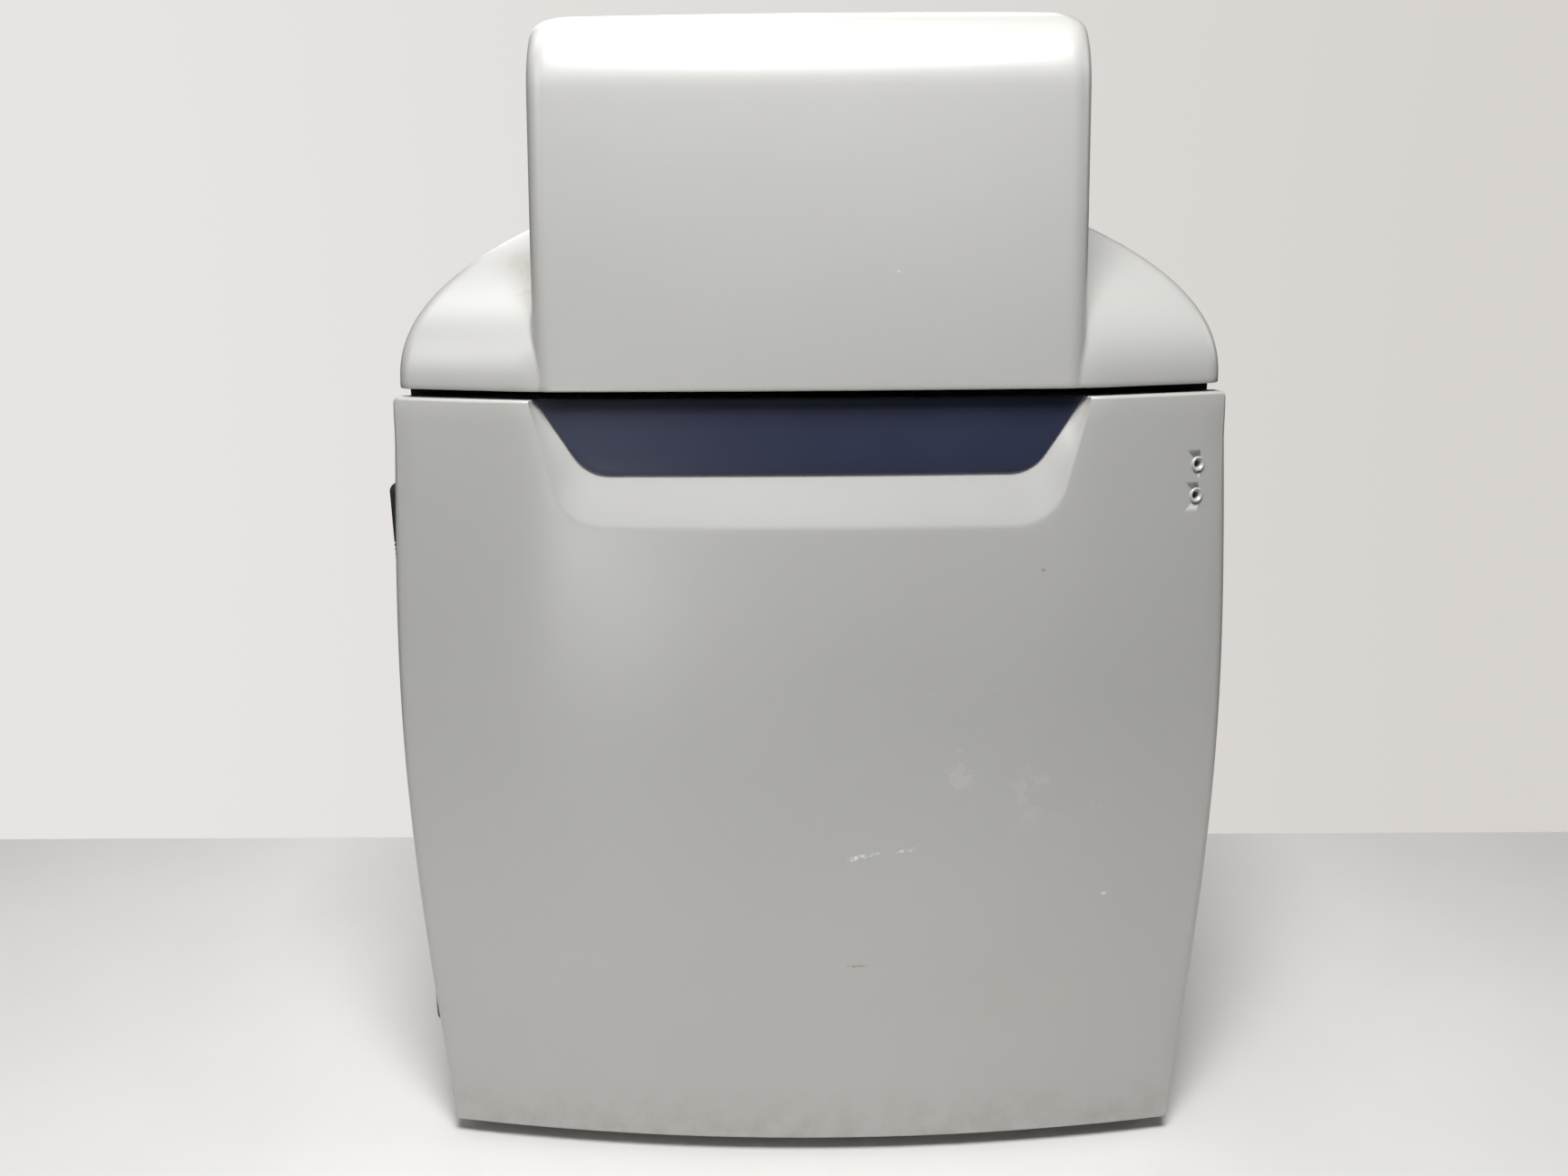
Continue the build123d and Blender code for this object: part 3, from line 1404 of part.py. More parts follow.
def build():
    """Makes every node."""
    nodes = {
        "door_shell": door_shell(),
        "door_inner_panel": door_inner_panel(),
        "door_gasket": door_gasket(),
        "fascia_panel": fascia_panel(),
        "led_bezels": led_bezels(),
        "led_lenses": led_lenses(),
        "door_striker": door_striker(),
        "hinge_door_leaves": hinge_door_leaves(),
        "hinge_brackets": hinge_brackets(),
        "hinge_pins": hinge_pins(),
        "magnet_catch": magnet_catch(),
        "interlock_switch": interlock_switch(),
        "interlock_plunger": interlock_plunger(),
        "base_pan": base_pan(),
        "feet": feet(),
        "side_panel_right": side_panel(),
        "side_panel_left": side_panel_left(),
        "rear_panel": rear_panel(),
        "rear_screws": rear_screws(),
        "front_frame": front_frame(),
        "chamber_liner": chamber_liner(),
        "roof_deck": roof_deck(),
        "top_cover": top_cover(),
        "hood_rear_panel": hood_rear_panel(),
        "side_vent_cover": side_vent_cover(),
        "filter_wheel": filter_wheel(),
        "filter_glasses": filter_glasses(),
        "filter_wheel_case": wheel_case(),
        "filter_wheel_pinion": wheel_pinion(),
        "lens_barrel": lens_barrel(),
        "lens_glasses": lens_glasses(),
        "gear_motors": gear_motors(),
        "camera_shelf": camera_shelf(),
        "shelf_posts": shelf_posts(),
        "camera_body": camera_body(),
        "transilluminator_housing": table_housing(),
        "filter_glass_plate": table_glass_plate(),
        "reflector_tray": reflector_tray(),
        "lamp_holders": lamp_holders(),
        "uv_lamps": uv_lamps(),
        "lamp_ballast": lamp_ballast(),
        "converter_frame": converter_frame(),
        "converter_screen": converter_screen(),
        "converter_hinges": converter_hinges(),
        "epi_light_housings": [epi_light(-1), epi_light(1)],
        "epi_diffusers": epi_diffusers(),
        "power_supply": power_supply(),
        "control_board": control_board(),
        "power_inlet": power_inlet(),
        "fuse_drawer": fuse_drawer(),
        "switch_housing": switch_housing(),
        "power_rocker": power_rocker(),
        "data_sockets": data_sockets(),
    }
    nodes["fan_frames"] = [fan_frame(*place) for place in fan_places]
    nodes["rear_fan_rotor"] = fan_rotor(*fan_places[0])
    nodes["hood_fan_rotor"] = fan_rotor(*fan_places[1])
    for ring in ring_list:
        nodes[ring[0] + "_ring"] = lens_ring(ring[0])
        nodes[ring[0] + "_pinion"] = ring_pinion(ring[0])
    return nodes


os.makedirs("parts", exist_ok=True)
for node_name, node_shape in build().items():
    save(node_name, node_shape)
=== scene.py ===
"""Looks of the gel documentation cabinet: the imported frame, dressed with detailed pieces and finishes.

Lengths in the shape functions are millimetres in the frame's axes (+X the viewer's right, -Y the
front, +Z up) and become metres when a mesh is made.
"""
import json
import math

import bmesh
import bpy
from mathutils import Matrix, Vector, geometry


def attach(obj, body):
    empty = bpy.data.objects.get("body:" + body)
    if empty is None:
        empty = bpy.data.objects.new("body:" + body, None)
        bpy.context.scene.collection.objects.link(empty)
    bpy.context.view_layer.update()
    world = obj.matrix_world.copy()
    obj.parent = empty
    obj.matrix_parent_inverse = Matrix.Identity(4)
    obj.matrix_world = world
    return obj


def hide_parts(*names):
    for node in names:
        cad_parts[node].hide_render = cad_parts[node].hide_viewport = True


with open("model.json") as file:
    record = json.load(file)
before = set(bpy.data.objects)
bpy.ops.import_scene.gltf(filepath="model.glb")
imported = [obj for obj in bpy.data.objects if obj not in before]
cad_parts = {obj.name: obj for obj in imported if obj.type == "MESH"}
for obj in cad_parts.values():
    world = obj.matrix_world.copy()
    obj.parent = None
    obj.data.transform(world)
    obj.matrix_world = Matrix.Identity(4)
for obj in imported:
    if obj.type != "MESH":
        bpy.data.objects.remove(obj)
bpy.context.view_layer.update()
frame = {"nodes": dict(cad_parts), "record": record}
nodes = frame["nodes"]

MM = 0.001

# Sizes that follow the model
front_y = -232.5
door_bottom_z = 12.0
door_top_z = 526.5
door_lip_y = -182.5
crease_x = 168.0
wing_end_x = 284.0
drop_levels = (11.0, 330.0, 527.5)
drops = ((9.4, 16.8, 26.5), (8.0, 18.4, 33.5), (5.0, 23.5, 49.0))
outline_knots = ((12.0, 255.5), (322.0, 271.4), (526.5, 260.0))
edge_round = 2.0
side_round = 6.0
side_round_length = 26.0
outline_corner = 4.0
crease_softness = 9.0
scoop_depth = 10.0
scoop_rim_half_top = 168.5
scoop_rim_half_bottom = 151.0
scoop_rim_bottom_z = 448.5
scoop_rim_corner = 30.0
scoop_floor_half_top = 166.0
scoop_floor_half_bottom = 137.1
scoop_floor_bottom_z = 480.0
scoop_floor_corner = 26.0
scoop_blend = 0.07
fascia_thickness = 1.4
fascia_gap = 0.35
hollow_half = 237.5
hollow_margin = 16.0
hollow_depth = 8.0
bezel_x = 242.5
bezel_levels = (482.5, 462.9)
bezel_stem = 3.75
bezel_bore_depth = 16.0
hinge_axis = (-258.5, -183.0)
hinge_levels = (185.0, 430.0)
hinge_pocket_radius = 5.0
hinge_pocket_half = 27.25
hinge_mouth = (10.0, 9.0)
seal_half = 236.0
seal_bottom_z = 20.0
seal_top_z = 521.0
seal_corner = 14.0
seal_base_y = -181.0
cover_bottom_z = 531.5
cover_top_z = 745.0
cover_rear_y = 229.5
cover_wall = 3.0
hood_half_bottom = 167.0
hood_half_top = 159.5
hood_bow = 5.0
hood_front_round = 45.0
hood_edge_round = 14.0
cover_half = 257.0
shoulder_rise = 116.5
shoulder_fall = 102.0
shoulder_power = 2.3
shoulder_lean = 1.2
shoulder_step = 7.0
shoulder_drop = 31.0
shoulder_corner = 14.0
shoulder_crease_round = 50.0
seam_round_low = 9.0
seam_round_high = 1.5

# Steps of the curves; the last row counts the points of one cover ring, part by part
scoop_steps = (24, 12, 12)
grid_step = 10.0
bezel_steps = 24
hood_front_steps = 24
corner_steps = 16
arc_steps = 12
ring_steps = (18, 12, 12, 8, 22, 10, 14)


# Making meshes


def make_piece(name, points, faces, sharp=32.0):
    """Mesh object from points in millimetres, smooth except where faces meet sharply."""
    mesh = bpy.data.meshes.new(name)
    mesh.from_pydata([(x * MM, y * MM, z * MM) for x, y, z in points], [], faces)
    tidy = bmesh.new()
    tidy.from_mesh(mesh)
    bmesh.ops.recalc_face_normals(tidy, faces=tidy.faces)
    tidy.to_mesh(mesh)
    tidy.free()
    smooth(mesh, sharp)
    piece = bpy.data.objects.new(name, mesh)
    bpy.context.scene.collection.objects.link(piece)
    return piece


def smooth(mesh, sharp):
    """Smooth shading with sharp edges above an angle."""
    mesh.polygons.foreach_set("use_smooth", [True] * len(mesh.polygons))
    mesh.set_sharp_from_angle(angle=math.radians(sharp))


def bake(piece, sharp=32.0):
    """Applies the piece's modifiers to its mesh."""
    shown = bpy.context.evaluated_depsgraph_get()
    mesh = bpy.data.meshes.new_from_object(piece.evaluated_get(shown))
    piece.modifiers.clear()
    piece.data = mesh
    smooth(mesh, sharp)


def cut(piece, cutters):
    """Takes closed meshes out of a piece."""
    for cutter in cutters:
        bite = piece.modifiers.new("bite", "BOOLEAN")
        bite.operation = "DIFFERENCE"
        bite.solver = "EXACT"
        bite.object = cutter
    bake(piece)
    for cutter in cutters:
        bpy.data.objects.remove(cutter)


def lerp(a, b, share):
    """Value part way from a to b."""
    return a + (b - a) * share


# The door's surface


def circle_through(p, q, r):
    """Centre and radius of the circle through three points."""
    (ax, ay), (bx, by), (cx, cy) = p, q, r
    d = 2 * (ax * (by - cy) + bx * (cy - ay) + cx * (ay - by))
    ux = ((ax**2 + ay**2) * (by - cy) + (bx**2 + by**2) * (cy - ay) + (cx**2 + cy**2) * (ay - by)) / d
    uy = ((ax**2 + ay**2) * (cx - bx) + (bx**2 + by**2) * (ax - cx) + (cx**2 + cy**2) * (bx - ax)) / d
    return ux, uy, math.hypot(ax - ux, ay - uy)


def section_arcs(drop):
    """Middle arc radius, wing circle and the change of slope at the crease, for one plan section."""
    crease, half_way, end = drop
    middle = (crease_x**2 + crease**2) / (2 * crease)
    wing = circle_through((crease_x, crease), ((crease_x + wing_end_x) / 2, half_way), (wing_end_x, end))
    slope_in = crease_x / math.sqrt(middle**2 - crease_x**2)
    slope_out = (crease_x - wing[0]) / math.sqrt(wing[2] ** 2 - (crease_x - wing[0]) ** 2)
    return middle, wing, slope_out - slope_in


arcs = [section_arcs(drop) for drop in drops]


def drop_at(level, x):
    """How far one plan section stands back at x, with its crease softened."""
    middle, wing, turn = arcs[level]
    x = abs(x)
    away = abs(x - crease_x)
    soft = turn * (math.hypot(away, crease_softness) - away) / 2
    if x < crease_x:
        return middle - math.sqrt(middle**2 - x**2) + soft
    return wing[1] - math.sqrt(wing[2] ** 2 - (x - wing[0]) ** 2) + soft


def door_y(x, z):
    """The door's front surface."""
    total = front_y
    for level in range(3):
        weight = 1.0
        for other in range(3):
            if other != level:
                weight *= (z - drop_levels[other]) / (drop_levels[level] - drop_levels[other])
        total += weight * drop_at(level, x)
    return total


def door_half(z):
    """Half width of the door's barrel outline: a natural cubic through three heights."""
    (z0, w0), (z1, w1), (z2, w2) = outline_knots
    low = z1 - z0
    high = z2 - z1
    bend = 3 * ((w2 - w1) / high - (w1 - w0) / low) / (low + high)
    if z <= z1:
        a, b, span, wa, wb, ma, mb = z1 - z, z - z0, low, w0, w1, 0.0, bend
    else:
        a, b, span, wa, wb, ma, mb = z2 - z, z - z1, high, w1, w2, bend, 0.0
    straight = (wa * a + wb * b) / span
    return straight + (ma * (a**3 / span - a * span) + mb * (b**3 / span - b * span)) / 6


def door_normal(x, z):
    """Outward normal of the door's front."""
    step = 0.5
    dx = (door_y(x + step, z) - door_y(x - step, z)) / (2 * step)
    dz = (door_y(x, z + step) - door_y(x, z - step)) / (2 * step)
    return Vector((dx, -1.0, dz)).normalized()


# Flat outlines turned into moulded panels


def with_normals(loop):
    """Outward unit normals of a closed counter-clockwise loop of (x, z)."""
    normals = []
    count = len(loop)
    for index in range(count):
        ax, az = loop[index - 1]
        bx, bz = loop[(index + 1) % count]
        length = math.hypot(bx - ax, bz - az) or 1.0
        normals.append(((bz - az) / length, -(bx - ax) / length))
    return normals


def moulded(border, inner, surface, back_y, edges=(), holes=(), steps=6, rear_round=0.8):
    """Closed slab: a triangulated front inside the border, rounded edges, sides and a flat back.

    border and inner hold (x, z, depth); a border point also has its outward normal and edge radius.
    """
    count = len(border)
    flat = [Vector((p[0], p[1])) for p in border] + [Vector((p[0], p[1])) for p in inner]
    depths = [p[2] for p in border] + [p[2] for p in inner]
    links = [(k, (k + 1) % count) for k in range(count)] + [(a + count, b + count) for a, b in edges]
    made, _, triangles, origins, _, _ = geometry.delaunay_2d_cdt(flat, links, [], 0, 1e-4)
    points = []
    back_of = {}
    for index, place in enumerate(made):
        origin = origins[index][0] if origins[index] else None
        depth = depths[origin] if origin is not None else 0.0
        if origin is not None:
            back_of[origin] = index
        points.append((place.x, surface(place.x, place.y) + depth, place.y))
    faces = []
    for triangle in triangles:
        cx = sum(made[k].x for k in triangle) / 3
        cz = sum(made[k].y for k in triangle) / 3
        if not any(hole(cx, cz) for hole in holes):
            faces.append(tuple(triangle))
    ring = [back_of[k] for k in range(count)]
    for step in range(1, steps + 1):
        angle = math.pi / 2 * step / steps
        fresh = []
        for x, z, depth, nx, nz, radius in border:
            out = radius * math.sin(angle)
            px = x + nx * out
            pz = z + nz * out
            fresh.append(len(points))
            points.append((px, surface(px, pz) + depth + radius * (1 - math.cos(angle)), pz))
        faces += [(ring[k], fresh[k], fresh[(k + 1) % count], ring[(k + 1) % count]) for k in range(count)]
        ring = fresh
    for inset, step_back in ((0.0, rear_round), (rear_round * 0.3, rear_round * 0.3), (rear_round, 0.0)):
        fresh = []
        for x, z, depth, nx, nz, radius in border:
            fresh.append(len(points))
            reach = radius - inset
            points.append((x + nx * reach, back_y(x, z) - step_back, z + nz * reach))
        faces += [(ring[k], fresh[k], fresh[(k + 1) % count], ring[(k + 1) % count]) for k in range(count)]
        ring = fresh
    faces.append(tuple(reversed(ring)))
    return points, faces, back_of


def rounded_path(half_top, top_z, half_bottom, bottom_z, radius):
    """Open path of a tray outline from its top left over its bottom to its top right."""
    flat, round_part, slanted = scoop_steps
    along = Vector((half_top - half_bottom, top_z - bottom_z)).normalized()
    turn = math.acos(along.x)
    reach = radius * math.tan(turn / 2)
    start = Vector((half_bottom - reach, bottom_z))
    centre = start + Vector((0, radius))
    right = []
    for k in range(flat + 1):
        right.append((start.x * k / flat, bottom_z))
    for k in range(1, round_part + 1):
        angle = turn * k / round_part
        right.append((centre.x + radius * math.sin(angle), centre.y - radius * math.cos(angle)))
    last = Vector(right[-1])
    for k in range(1, slanted + 1):
        share = k / slanted
        right.append((lerp(last.x, half_top, share), lerp(last.y, top_z, share)))
    return [(-x, z) for x, z in reversed(right[1:])] + right


def scoop_profile(share):
    """Depth of the scoop's wall from its outer edge (0) to its floor (1), rounded at both ends."""
    b = scoop_blend
    if share <= -b:
        return 0.0
    if share < b:
        return scoop_depth * (share + b) ** 2 / (4 * b)
    if share <= 1 - b:
        return scoop_depth * share
    if share < 1 + b:
        return scoop_depth * (1 - (1 + b - share) ** 2 / (4 * b))
    return scoop_depth


def inside_path(path, x, z):
    """Whether (x, z) lies above an open tray outline."""
    if abs(x) >= abs(path[-1][0]):
        return False
    for (ax, az), (bx, bz) in zip(path, path[1:]):
        if min(ax, bx) <= x <= max(ax, bx) and abs(bx - ax) > 1e-9:
            if z < lerp(az, bz, (x - ax) / (bx - ax)):
                return False
    return True


clip_z = door_top_z - edge_round
outer_path = rounded_path(
    scoop_rim_half_top, clip_z, scoop_rim_half_bottom, scoop_rim_bottom_z, scoop_rim_corner
)
inner_path = rounded_path(
    scoop_floor_half_top, clip_z, scoop_floor_half_bottom, scoop_floor_bottom_z, scoop_floor_corner
)


def between_paths(share):
    """Path part way down the scoop's wall, with its ends at the clipped height."""
    path = [(lerp(p[0], q[0], share), lerp(p[1], q[1], share)) for p, q in zip(outer_path, inner_path)]
    return [(path[0][0], clip_z), *path[1:-1], (path[-1][0], clip_z)]


blend_shares = [scoop_blend * k / 2 for k in range(-2, 3)]
wall_shares = [*blend_shares, 0.3, 0.5, 0.7, *(1 + share for share in blend_shares)]


def side_radius(z):
    """Radius of the door's side edge, which grows from the corners to the side's middle."""
    away = min(z - door_bottom_z, door_top_z - z) - outline_corner
    grow = min(1.0, away / side_round_length)
    return lerp(edge_round, side_round, grow * grow * (3 - 2 * grow))


def door_border():
    """The door's outline as inset points with normals and edge radii."""
    r = outline_corner
    low = door_bottom_z
    high = door_top_z
    bottom_half = door_half(low + r) - r
    top_half = door_half(high - r) - r
    corner = 6
    count = 44
    rows = 60
    loop = []
    for k in range(count + 1):
        loop.append((lerp(-bottom_half, bottom_half, k / count), low, edge_round))
    for k in range(1, corner + 1):
        a = math.pi / 2 * k / corner
        loop.append((bottom_half + r * math.sin(a), low + r * (1 - math.cos(a)), edge_round))
    levels = [low + r + (high - low - 2 * r) * k / rows for k in range(1, rows)]
    sides = [(door_half(z), z, side_radius(z)) for z in levels]
    loop += sides
    for k in range(corner + 1):
        a = math.pi / 2 * k / corner
        loop.append((top_half + r * math.cos(a), high - r * (1 - math.sin(a)), edge_round))
    depth_at = {}
    for share in wall_shares:
        x = round(between_paths(share)[-1][0], 4)
        depth_at[x] = scoop_profile(share)
        depth_at[-x] = scoop_profile(share)
    top = set(depth_at)
    for k in range(count + 1):
        x = lerp(-top_half, top_half, k / count)
        if not scoop_rim_half_bottom - 1 < abs(x) < scoop_rim_half_top + 7.5:
            top.add(round(x, 4))
    edge_in = abs(inner_path[-1][0])
    depths = {}
    for x in sorted(top, reverse=True)[1:-1]:
        depths[len(loop)] = depth_at.get(x, scoop_depth if abs(x) < edge_in else 0.0)
        loop.append((x, high, edge_round))
    for k in range(corner + 1):
        a = math.pi / 2 * k / corner
        loop.append((-top_half - r * math.sin(a), high - r * (1 - math.cos(a)), edge_round))
    loop += [(-x, z, radius) for x, z, radius in reversed(sides)]
    for k in range(corner):
        a = math.pi / 2 * k / corner
        loop.append((-bottom_half - r * math.cos(a), low + r * (1 - math.sin(a)), edge_round))
    normals = with_normals([(x, z) for x, z, _ in loop])
    border = []
    for index, ((x, z, radius), (nx, nz)) in enumerate(zip(loop, normals)):
        if abs(z - high) < 1e-6:
            nx, nz = 0.0, 1.0
        elif abs(z - low) < 1e-6:
            nx, nz = 0.0, -1.0
        border.append((x - nx * radius, z - nz * radius, depths.get(index, 0.0), nx, nz, radius))
    return border


def bezel_frame(z):
    """Placement of an indicator on the door: its Z axis points out of the door."""
    out = door_normal(bezel_x, z)
    across = out.cross(Vector((0, 0, 1))).normalized()
    up = out.cross(across) * -1
    turn = Matrix((across, up, out)).transposed().to_4x4()
    return Matrix.Translation(Vector((bezel_x, door_y(bezel_x, z), z))) @ turn


def hole_ring(placement, radius, count):
    """Points of a round hole on the door's front, as (x, z)."""
    ring = []
    for k in range(count):
        a = 2 * math.pi * k / count
        place = placement @ Vector((radius * math.cos(a), radius * math.sin(a), 0))
        ring.append((place.x, place.z))
    return ring


def front_grid(outside, inside):
    """Inner points of the door's front, kept clear of its edges, the scoop's wall and the indicators."""
    reach = 276
    from_edge = 3.0
    from_bezel = 6.0
    from_wall = 4.0
    columns = int(2 * reach / grid_step)
    rows = int((door_top_z - door_bottom_z) / grid_step)
    low = door_bottom_z + edge_round + from_edge
    high = clip_z - from_edge
    wall_edges = outside + inside
    grid = []
    for column in range(columns + 1):
        for row in range(1, rows + 1):
            x = -reach + column * grid_step
            z = door_bottom_z + row * grid_step
            if not low <= z <= high or abs(x) > door_half(z) - side_round - from_edge:
                continue
            if any((x - bezel_x) ** 2 + (z - level) ** 2 < from_bezel**2 for level in bezel_levels):
                continue
            if any((x - px) ** 2 + (z - pz) ** 2 < from_wall**2 for px, pz in wall_edges):
                continue
            if inside_path(inside, x, z):
                grid.append((x, z, scoop_depth))
            elif not inside_path(outside, x, z):
                grid.append((x, z, 0.0))
    return grid


def door_skin():
    """The convex door with its crease, scoop, indicator holes and hinge pockets."""
    border = door_border()
    inner = []
    edges = []
    for share in wall_shares:
        path = between_paths(share)
        depth = scoop_profile(share)
        start = len(inner)
        inner += [(x, z, depth) for x, z in path[1:-1]]
        edges += [(start + k, start + k + 1) for k in range(len(path) - 3)]
    placements = [bezel_frame(z) for z in bezel_levels]
    rims = []
    for placement in placements:
        ring = hole_ring(placement, bezel_stem, bezel_steps)
        start = len(inner)
        rims.append(range(start, start + len(ring)))
        inner += [(x, z, 0.0) for x, z in ring]
        edges += [(start + k, start + (k + 1) % len(ring)) for k in range(len(ring))]
    inner += front_grid(between_paths(wall_shares[0]), between_paths(wall_shares[-1]))
    holes = [
        lambda cx, cz, level=level: (cx - bezel_x) ** 2 * 1.2 + (cz - level) ** 2 < (bezel_stem - 0.25) ** 2
        for level in bezel_levels
    ]
    points, faces, index_of = moulded(
        border, inner, door_y, lambda x, z: door_lip_y, edges=edges, holes=holes
    )
    for placement, rim in zip(placements, rims):
        front = [index_of[len(border) + k] for k in rim]
        deep = placement.to_3x3() @ Vector((0, 0, -bezel_bore_depth))
        rear = []
        for k in front:
            x, y, z = points[k]
            rear.append(len(points))
            points.append((x + deep.x, y + deep.y, z + deep.z))
        size = len(front)
        faces += [(front[k], front[(k + 1) % size], rear[(k + 1) % size], rear[k]) for k in range(size)]
        faces.append(tuple(rear))
    skin = make_piece("door_skin", points, faces)
    cut(skin, [pocket_cutter(level) for level in hinge_levels] + [hollow_cutter()])
    return skin


def hollow_cutter():
    """Closed mesh of the room inside the rear lip, which the inner panel covers."""
    half = hollow_half
    y0 = door_lip_y - hollow_depth
    y1 = door_lip_y + 1
    levels = (door_bottom_z + hollow_margin, door_top_z - hollow_margin)
    points = [(x, y, z) for z in levels for x, y in ((-half, y0), (half, y0), (half, y1), (-half, y1))]
    faces = [(3, 2, 1, 0), (4, 5, 6, 7), (0, 1, 5, 4), (1, 2, 6, 5), (2, 3, 7, 6), (3, 0, 4, 7)]
    return make_piece("hollow", points, faces)


def pocket_cutter(level):
    """Closed mesh of the room for one hinge: a bore that opens to the rear."""
    x0, y0 = hinge_axis
    outline = []
    for k in range(25):
        a = math.radians(lerp(90, 360, k / 24))
        outline.append((x0 + hinge_pocket_radius * math.cos(a), y0 + hinge_pocket_radius * math.sin(a)))
    mouth_x = x0 + hinge_mouth[0]
    mouth_y = y0 + hinge_mouth[1]
    outline += [(mouth_x, y0), (mouth_x, mouth_y), (x0, mouth_y)]
    low = level - hinge_pocket_half
    high = level + hinge_pocket_half
    size = len(outline)
    points = [(x, y, low) for x, y in outline] + [(x, y, high) for x, y in outline]
    faces = [(k, (k + 1) % size, size + (k + 1) % size, size + k) for k in range(size)]
    faces += [tuple(range(size - 1, -1, -1)), tuple(range(size, 2 * size))]
    return make_piece("pocket", points, faces)


def fascia_plate():
    """Thin dark plate on the scoop's floor, with a fine rounded edge."""
    radius = 0.5
    inset = fascia_gap + radius
    top = door_top_z - 0.5 - radius
    path = rounded_path(
        scoop_floor_half_top - inset, top, scoop_floor_half_bottom - inset, scoop_floor_bottom_z + inset,
        scoop_floor_corner - inset,
    )
    half = path[-1][0]
    loop = path + [(lerp(half, -half, k / 30), top) for k in range(1, 30)]
    depth = scoop_depth - fascia_thickness
    border = [(x, z, depth, nx, nz, radius) for (x, z), (nx, nz) in zip(loop, with_normals(loop))]
    inner = []
    for column in range(-15, 16):
        for row in range(1, 5):
            x = column * grid_step
            z = scoop_floor_bottom_z + row * 9.0
            if inside_path(path, x, z - 4) and abs(x) < half - 12:
                inner.append((x, z, depth))
    points, faces, _ = moulded(
        border, inner, door_y, lambda x, z: door_y(x, z) + scoop_depth - 0.05, steps=3, rear_round=0.05
    )
    return make_piece("fascia_plate", points, faces, sharp=50)


def turned(name, profile, placements, segments=48, sharp=32.0):
    """Closed profile of (radius, height) turned about each placement's Z axis, joined into one piece."""
    points = []
    faces = []
    for placement in placements:
        start = len(points)
        count = len(profile)
        for k in range(segments):
            a = 2 * math.pi * k / segments
            for radius, rise in profile:
                place = placement @ Vector((radius * math.cos(a), radius * math.sin(a), rise))
                points.append(tuple(place))
        for k in range(segments):
            after = (k + 1) % segments
            for j in range(count):
                nxt = (j + 1) % count
                faces.append((
                    start + k * count + j, start + after * count + j,
                    start + after * count + nxt, start + k * count + nxt,
                ))
    return make_piece(name, points, faces, sharp)


# Top cover


def hood_front_y(z, inset):
    """Front of the hood at its middle."""
    centre = cover_top_z - hood_front_round
    radius = hood_front_round - inset
    if z <= centre:
        return front_y + inset
    rise = min(z - centre, radius)
    return front_y + hood_front_round - math.sqrt(max(radius**2 - rise**2, 0.0))


def hood_half(z, inset):
    """Half width of the hood."""
    share = (z - cover_bottom_z) / (cover_top_z - cover_bottom_z)
    half = lerp(hood_half_bottom, hood_half_top, share) - inset
    centre = cover_top_z - hood_edge_round
    radius = hood_edge_round - inset
    if z > centre:
        rise = min(z - centre, radius)
        half -= radius - math.sqrt(max(radius**2 - rise**2, 0.0))
    return half


def shoulder_half(z, inset):
    """Half width of the shoulders."""
    share = (z - cover_bottom_z) / shoulder_rise
    return cover_half - shoulder_fall * max(share, 0.0) ** shoulder_power - inset


def walk(path, count):
    """Points at equal steps of length along a path."""
    lengths = [0.0]
    for a, b in zip(path, path[1:]):
        lengths.append(lengths[-1] + (b - a).length)
    total = lengths[-1]
    out = []
    at = 0
    for k in range(count + 1):
        want = total * (k / count)
        while at < len(path) - 2 and lengths[at + 1] < want:
            at += 1
        span = lengths[at + 1] - lengths[at]
        share = (want - lengths[at]) / span if span > 1e-9 else 0.0
        out.append(path[at].lerp(path[at + 1], min(max(share, 0.0), 1.0)))
    return out


def shoulder_outline(z, inset):
    """Right half of the shoulders' plan from the middle to the rear, and where its wing corner starts."""
    half = shoulder_half(z, inset)
    fall = cover_half - inset - half
    y = front_y + shoulder_step + shoulder_lean * fall + inset
    crease = crease_x * half / cover_half
    corners = ((0, y), (crease, y), (half, y + shoulder_drop), (half, cover_rear_y))
    knots = [Vector(corner) for corner in corners]
    out = [knots[0]]
    marks = []
    for index, radius in ((1, shoulder_crease_round), (2, shoulder_corner - inset)):
        before = (knots[index - 1] - knots[index]).normalized()
        after = (knots[index + 1] - knots[index]).normalized()
        turn = math.pi - before.angle(after)
        reach = radius * math.tan(turn / 2)
        start = knots[index] + before * reach
        marks.append(len(out))
        across = Vector((before.y, -before.x))
        if across.dot(after) < 0:
            across.negate()
        for k in range(corner_steps + 1):
            a = turn * k / corner_steps
            out.append(start - before * radius * math.sin(a) + across * radius * (1 - math.cos(a)))
    out.append(knots[3])
    return out, marks[1]


def hood_outline(z, inset):
    """Right half of the hood's plan from the middle to the rear."""
    half = hood_half(z, inset)
    radius = hood_edge_round - inset
    tilt = math.atan(2 * hood_bow * (half - radius) / half**2)
    corner_x = half - radius * (1 - math.sin(tilt))
    front = hood_front_y(z, inset)
    out = []
    for k in range(hood_front_steps + 1):
        x = corner_x * k / hood_front_steps
        out.append(Vector((x, front + hood_bow * (x / half) ** 2)))
    centre = Vector((half - radius, out[-1].y + radius * math.cos(tilt)))
    for k in range(1, corner_steps + 1):
        a = tilt + (math.pi / 2 - tilt) * k / corner_steps
        out.append(centre + Vector((math.sin(a), -math.cos(a))) * radius)
    out.append(Vector((half, cover_rear_y)))
    return out


def pushed_out(path, reach):
    """Path moved outward by a distance."""
    out = []
    for k, point in enumerate(path):
        if k == len(path) - 1:
            ahead = Vector((0, 1))
        elif k == 0 or (path[k + 1] - path[k - 1]).length < 1e-9:
            ahead = Vector((1, 0))
        else:
            ahead = path[k + 1] - path[k - 1]
        ahead.normalize()
        out.append(point + Vector((ahead.y, -ahead.x)) * reach)
    return out


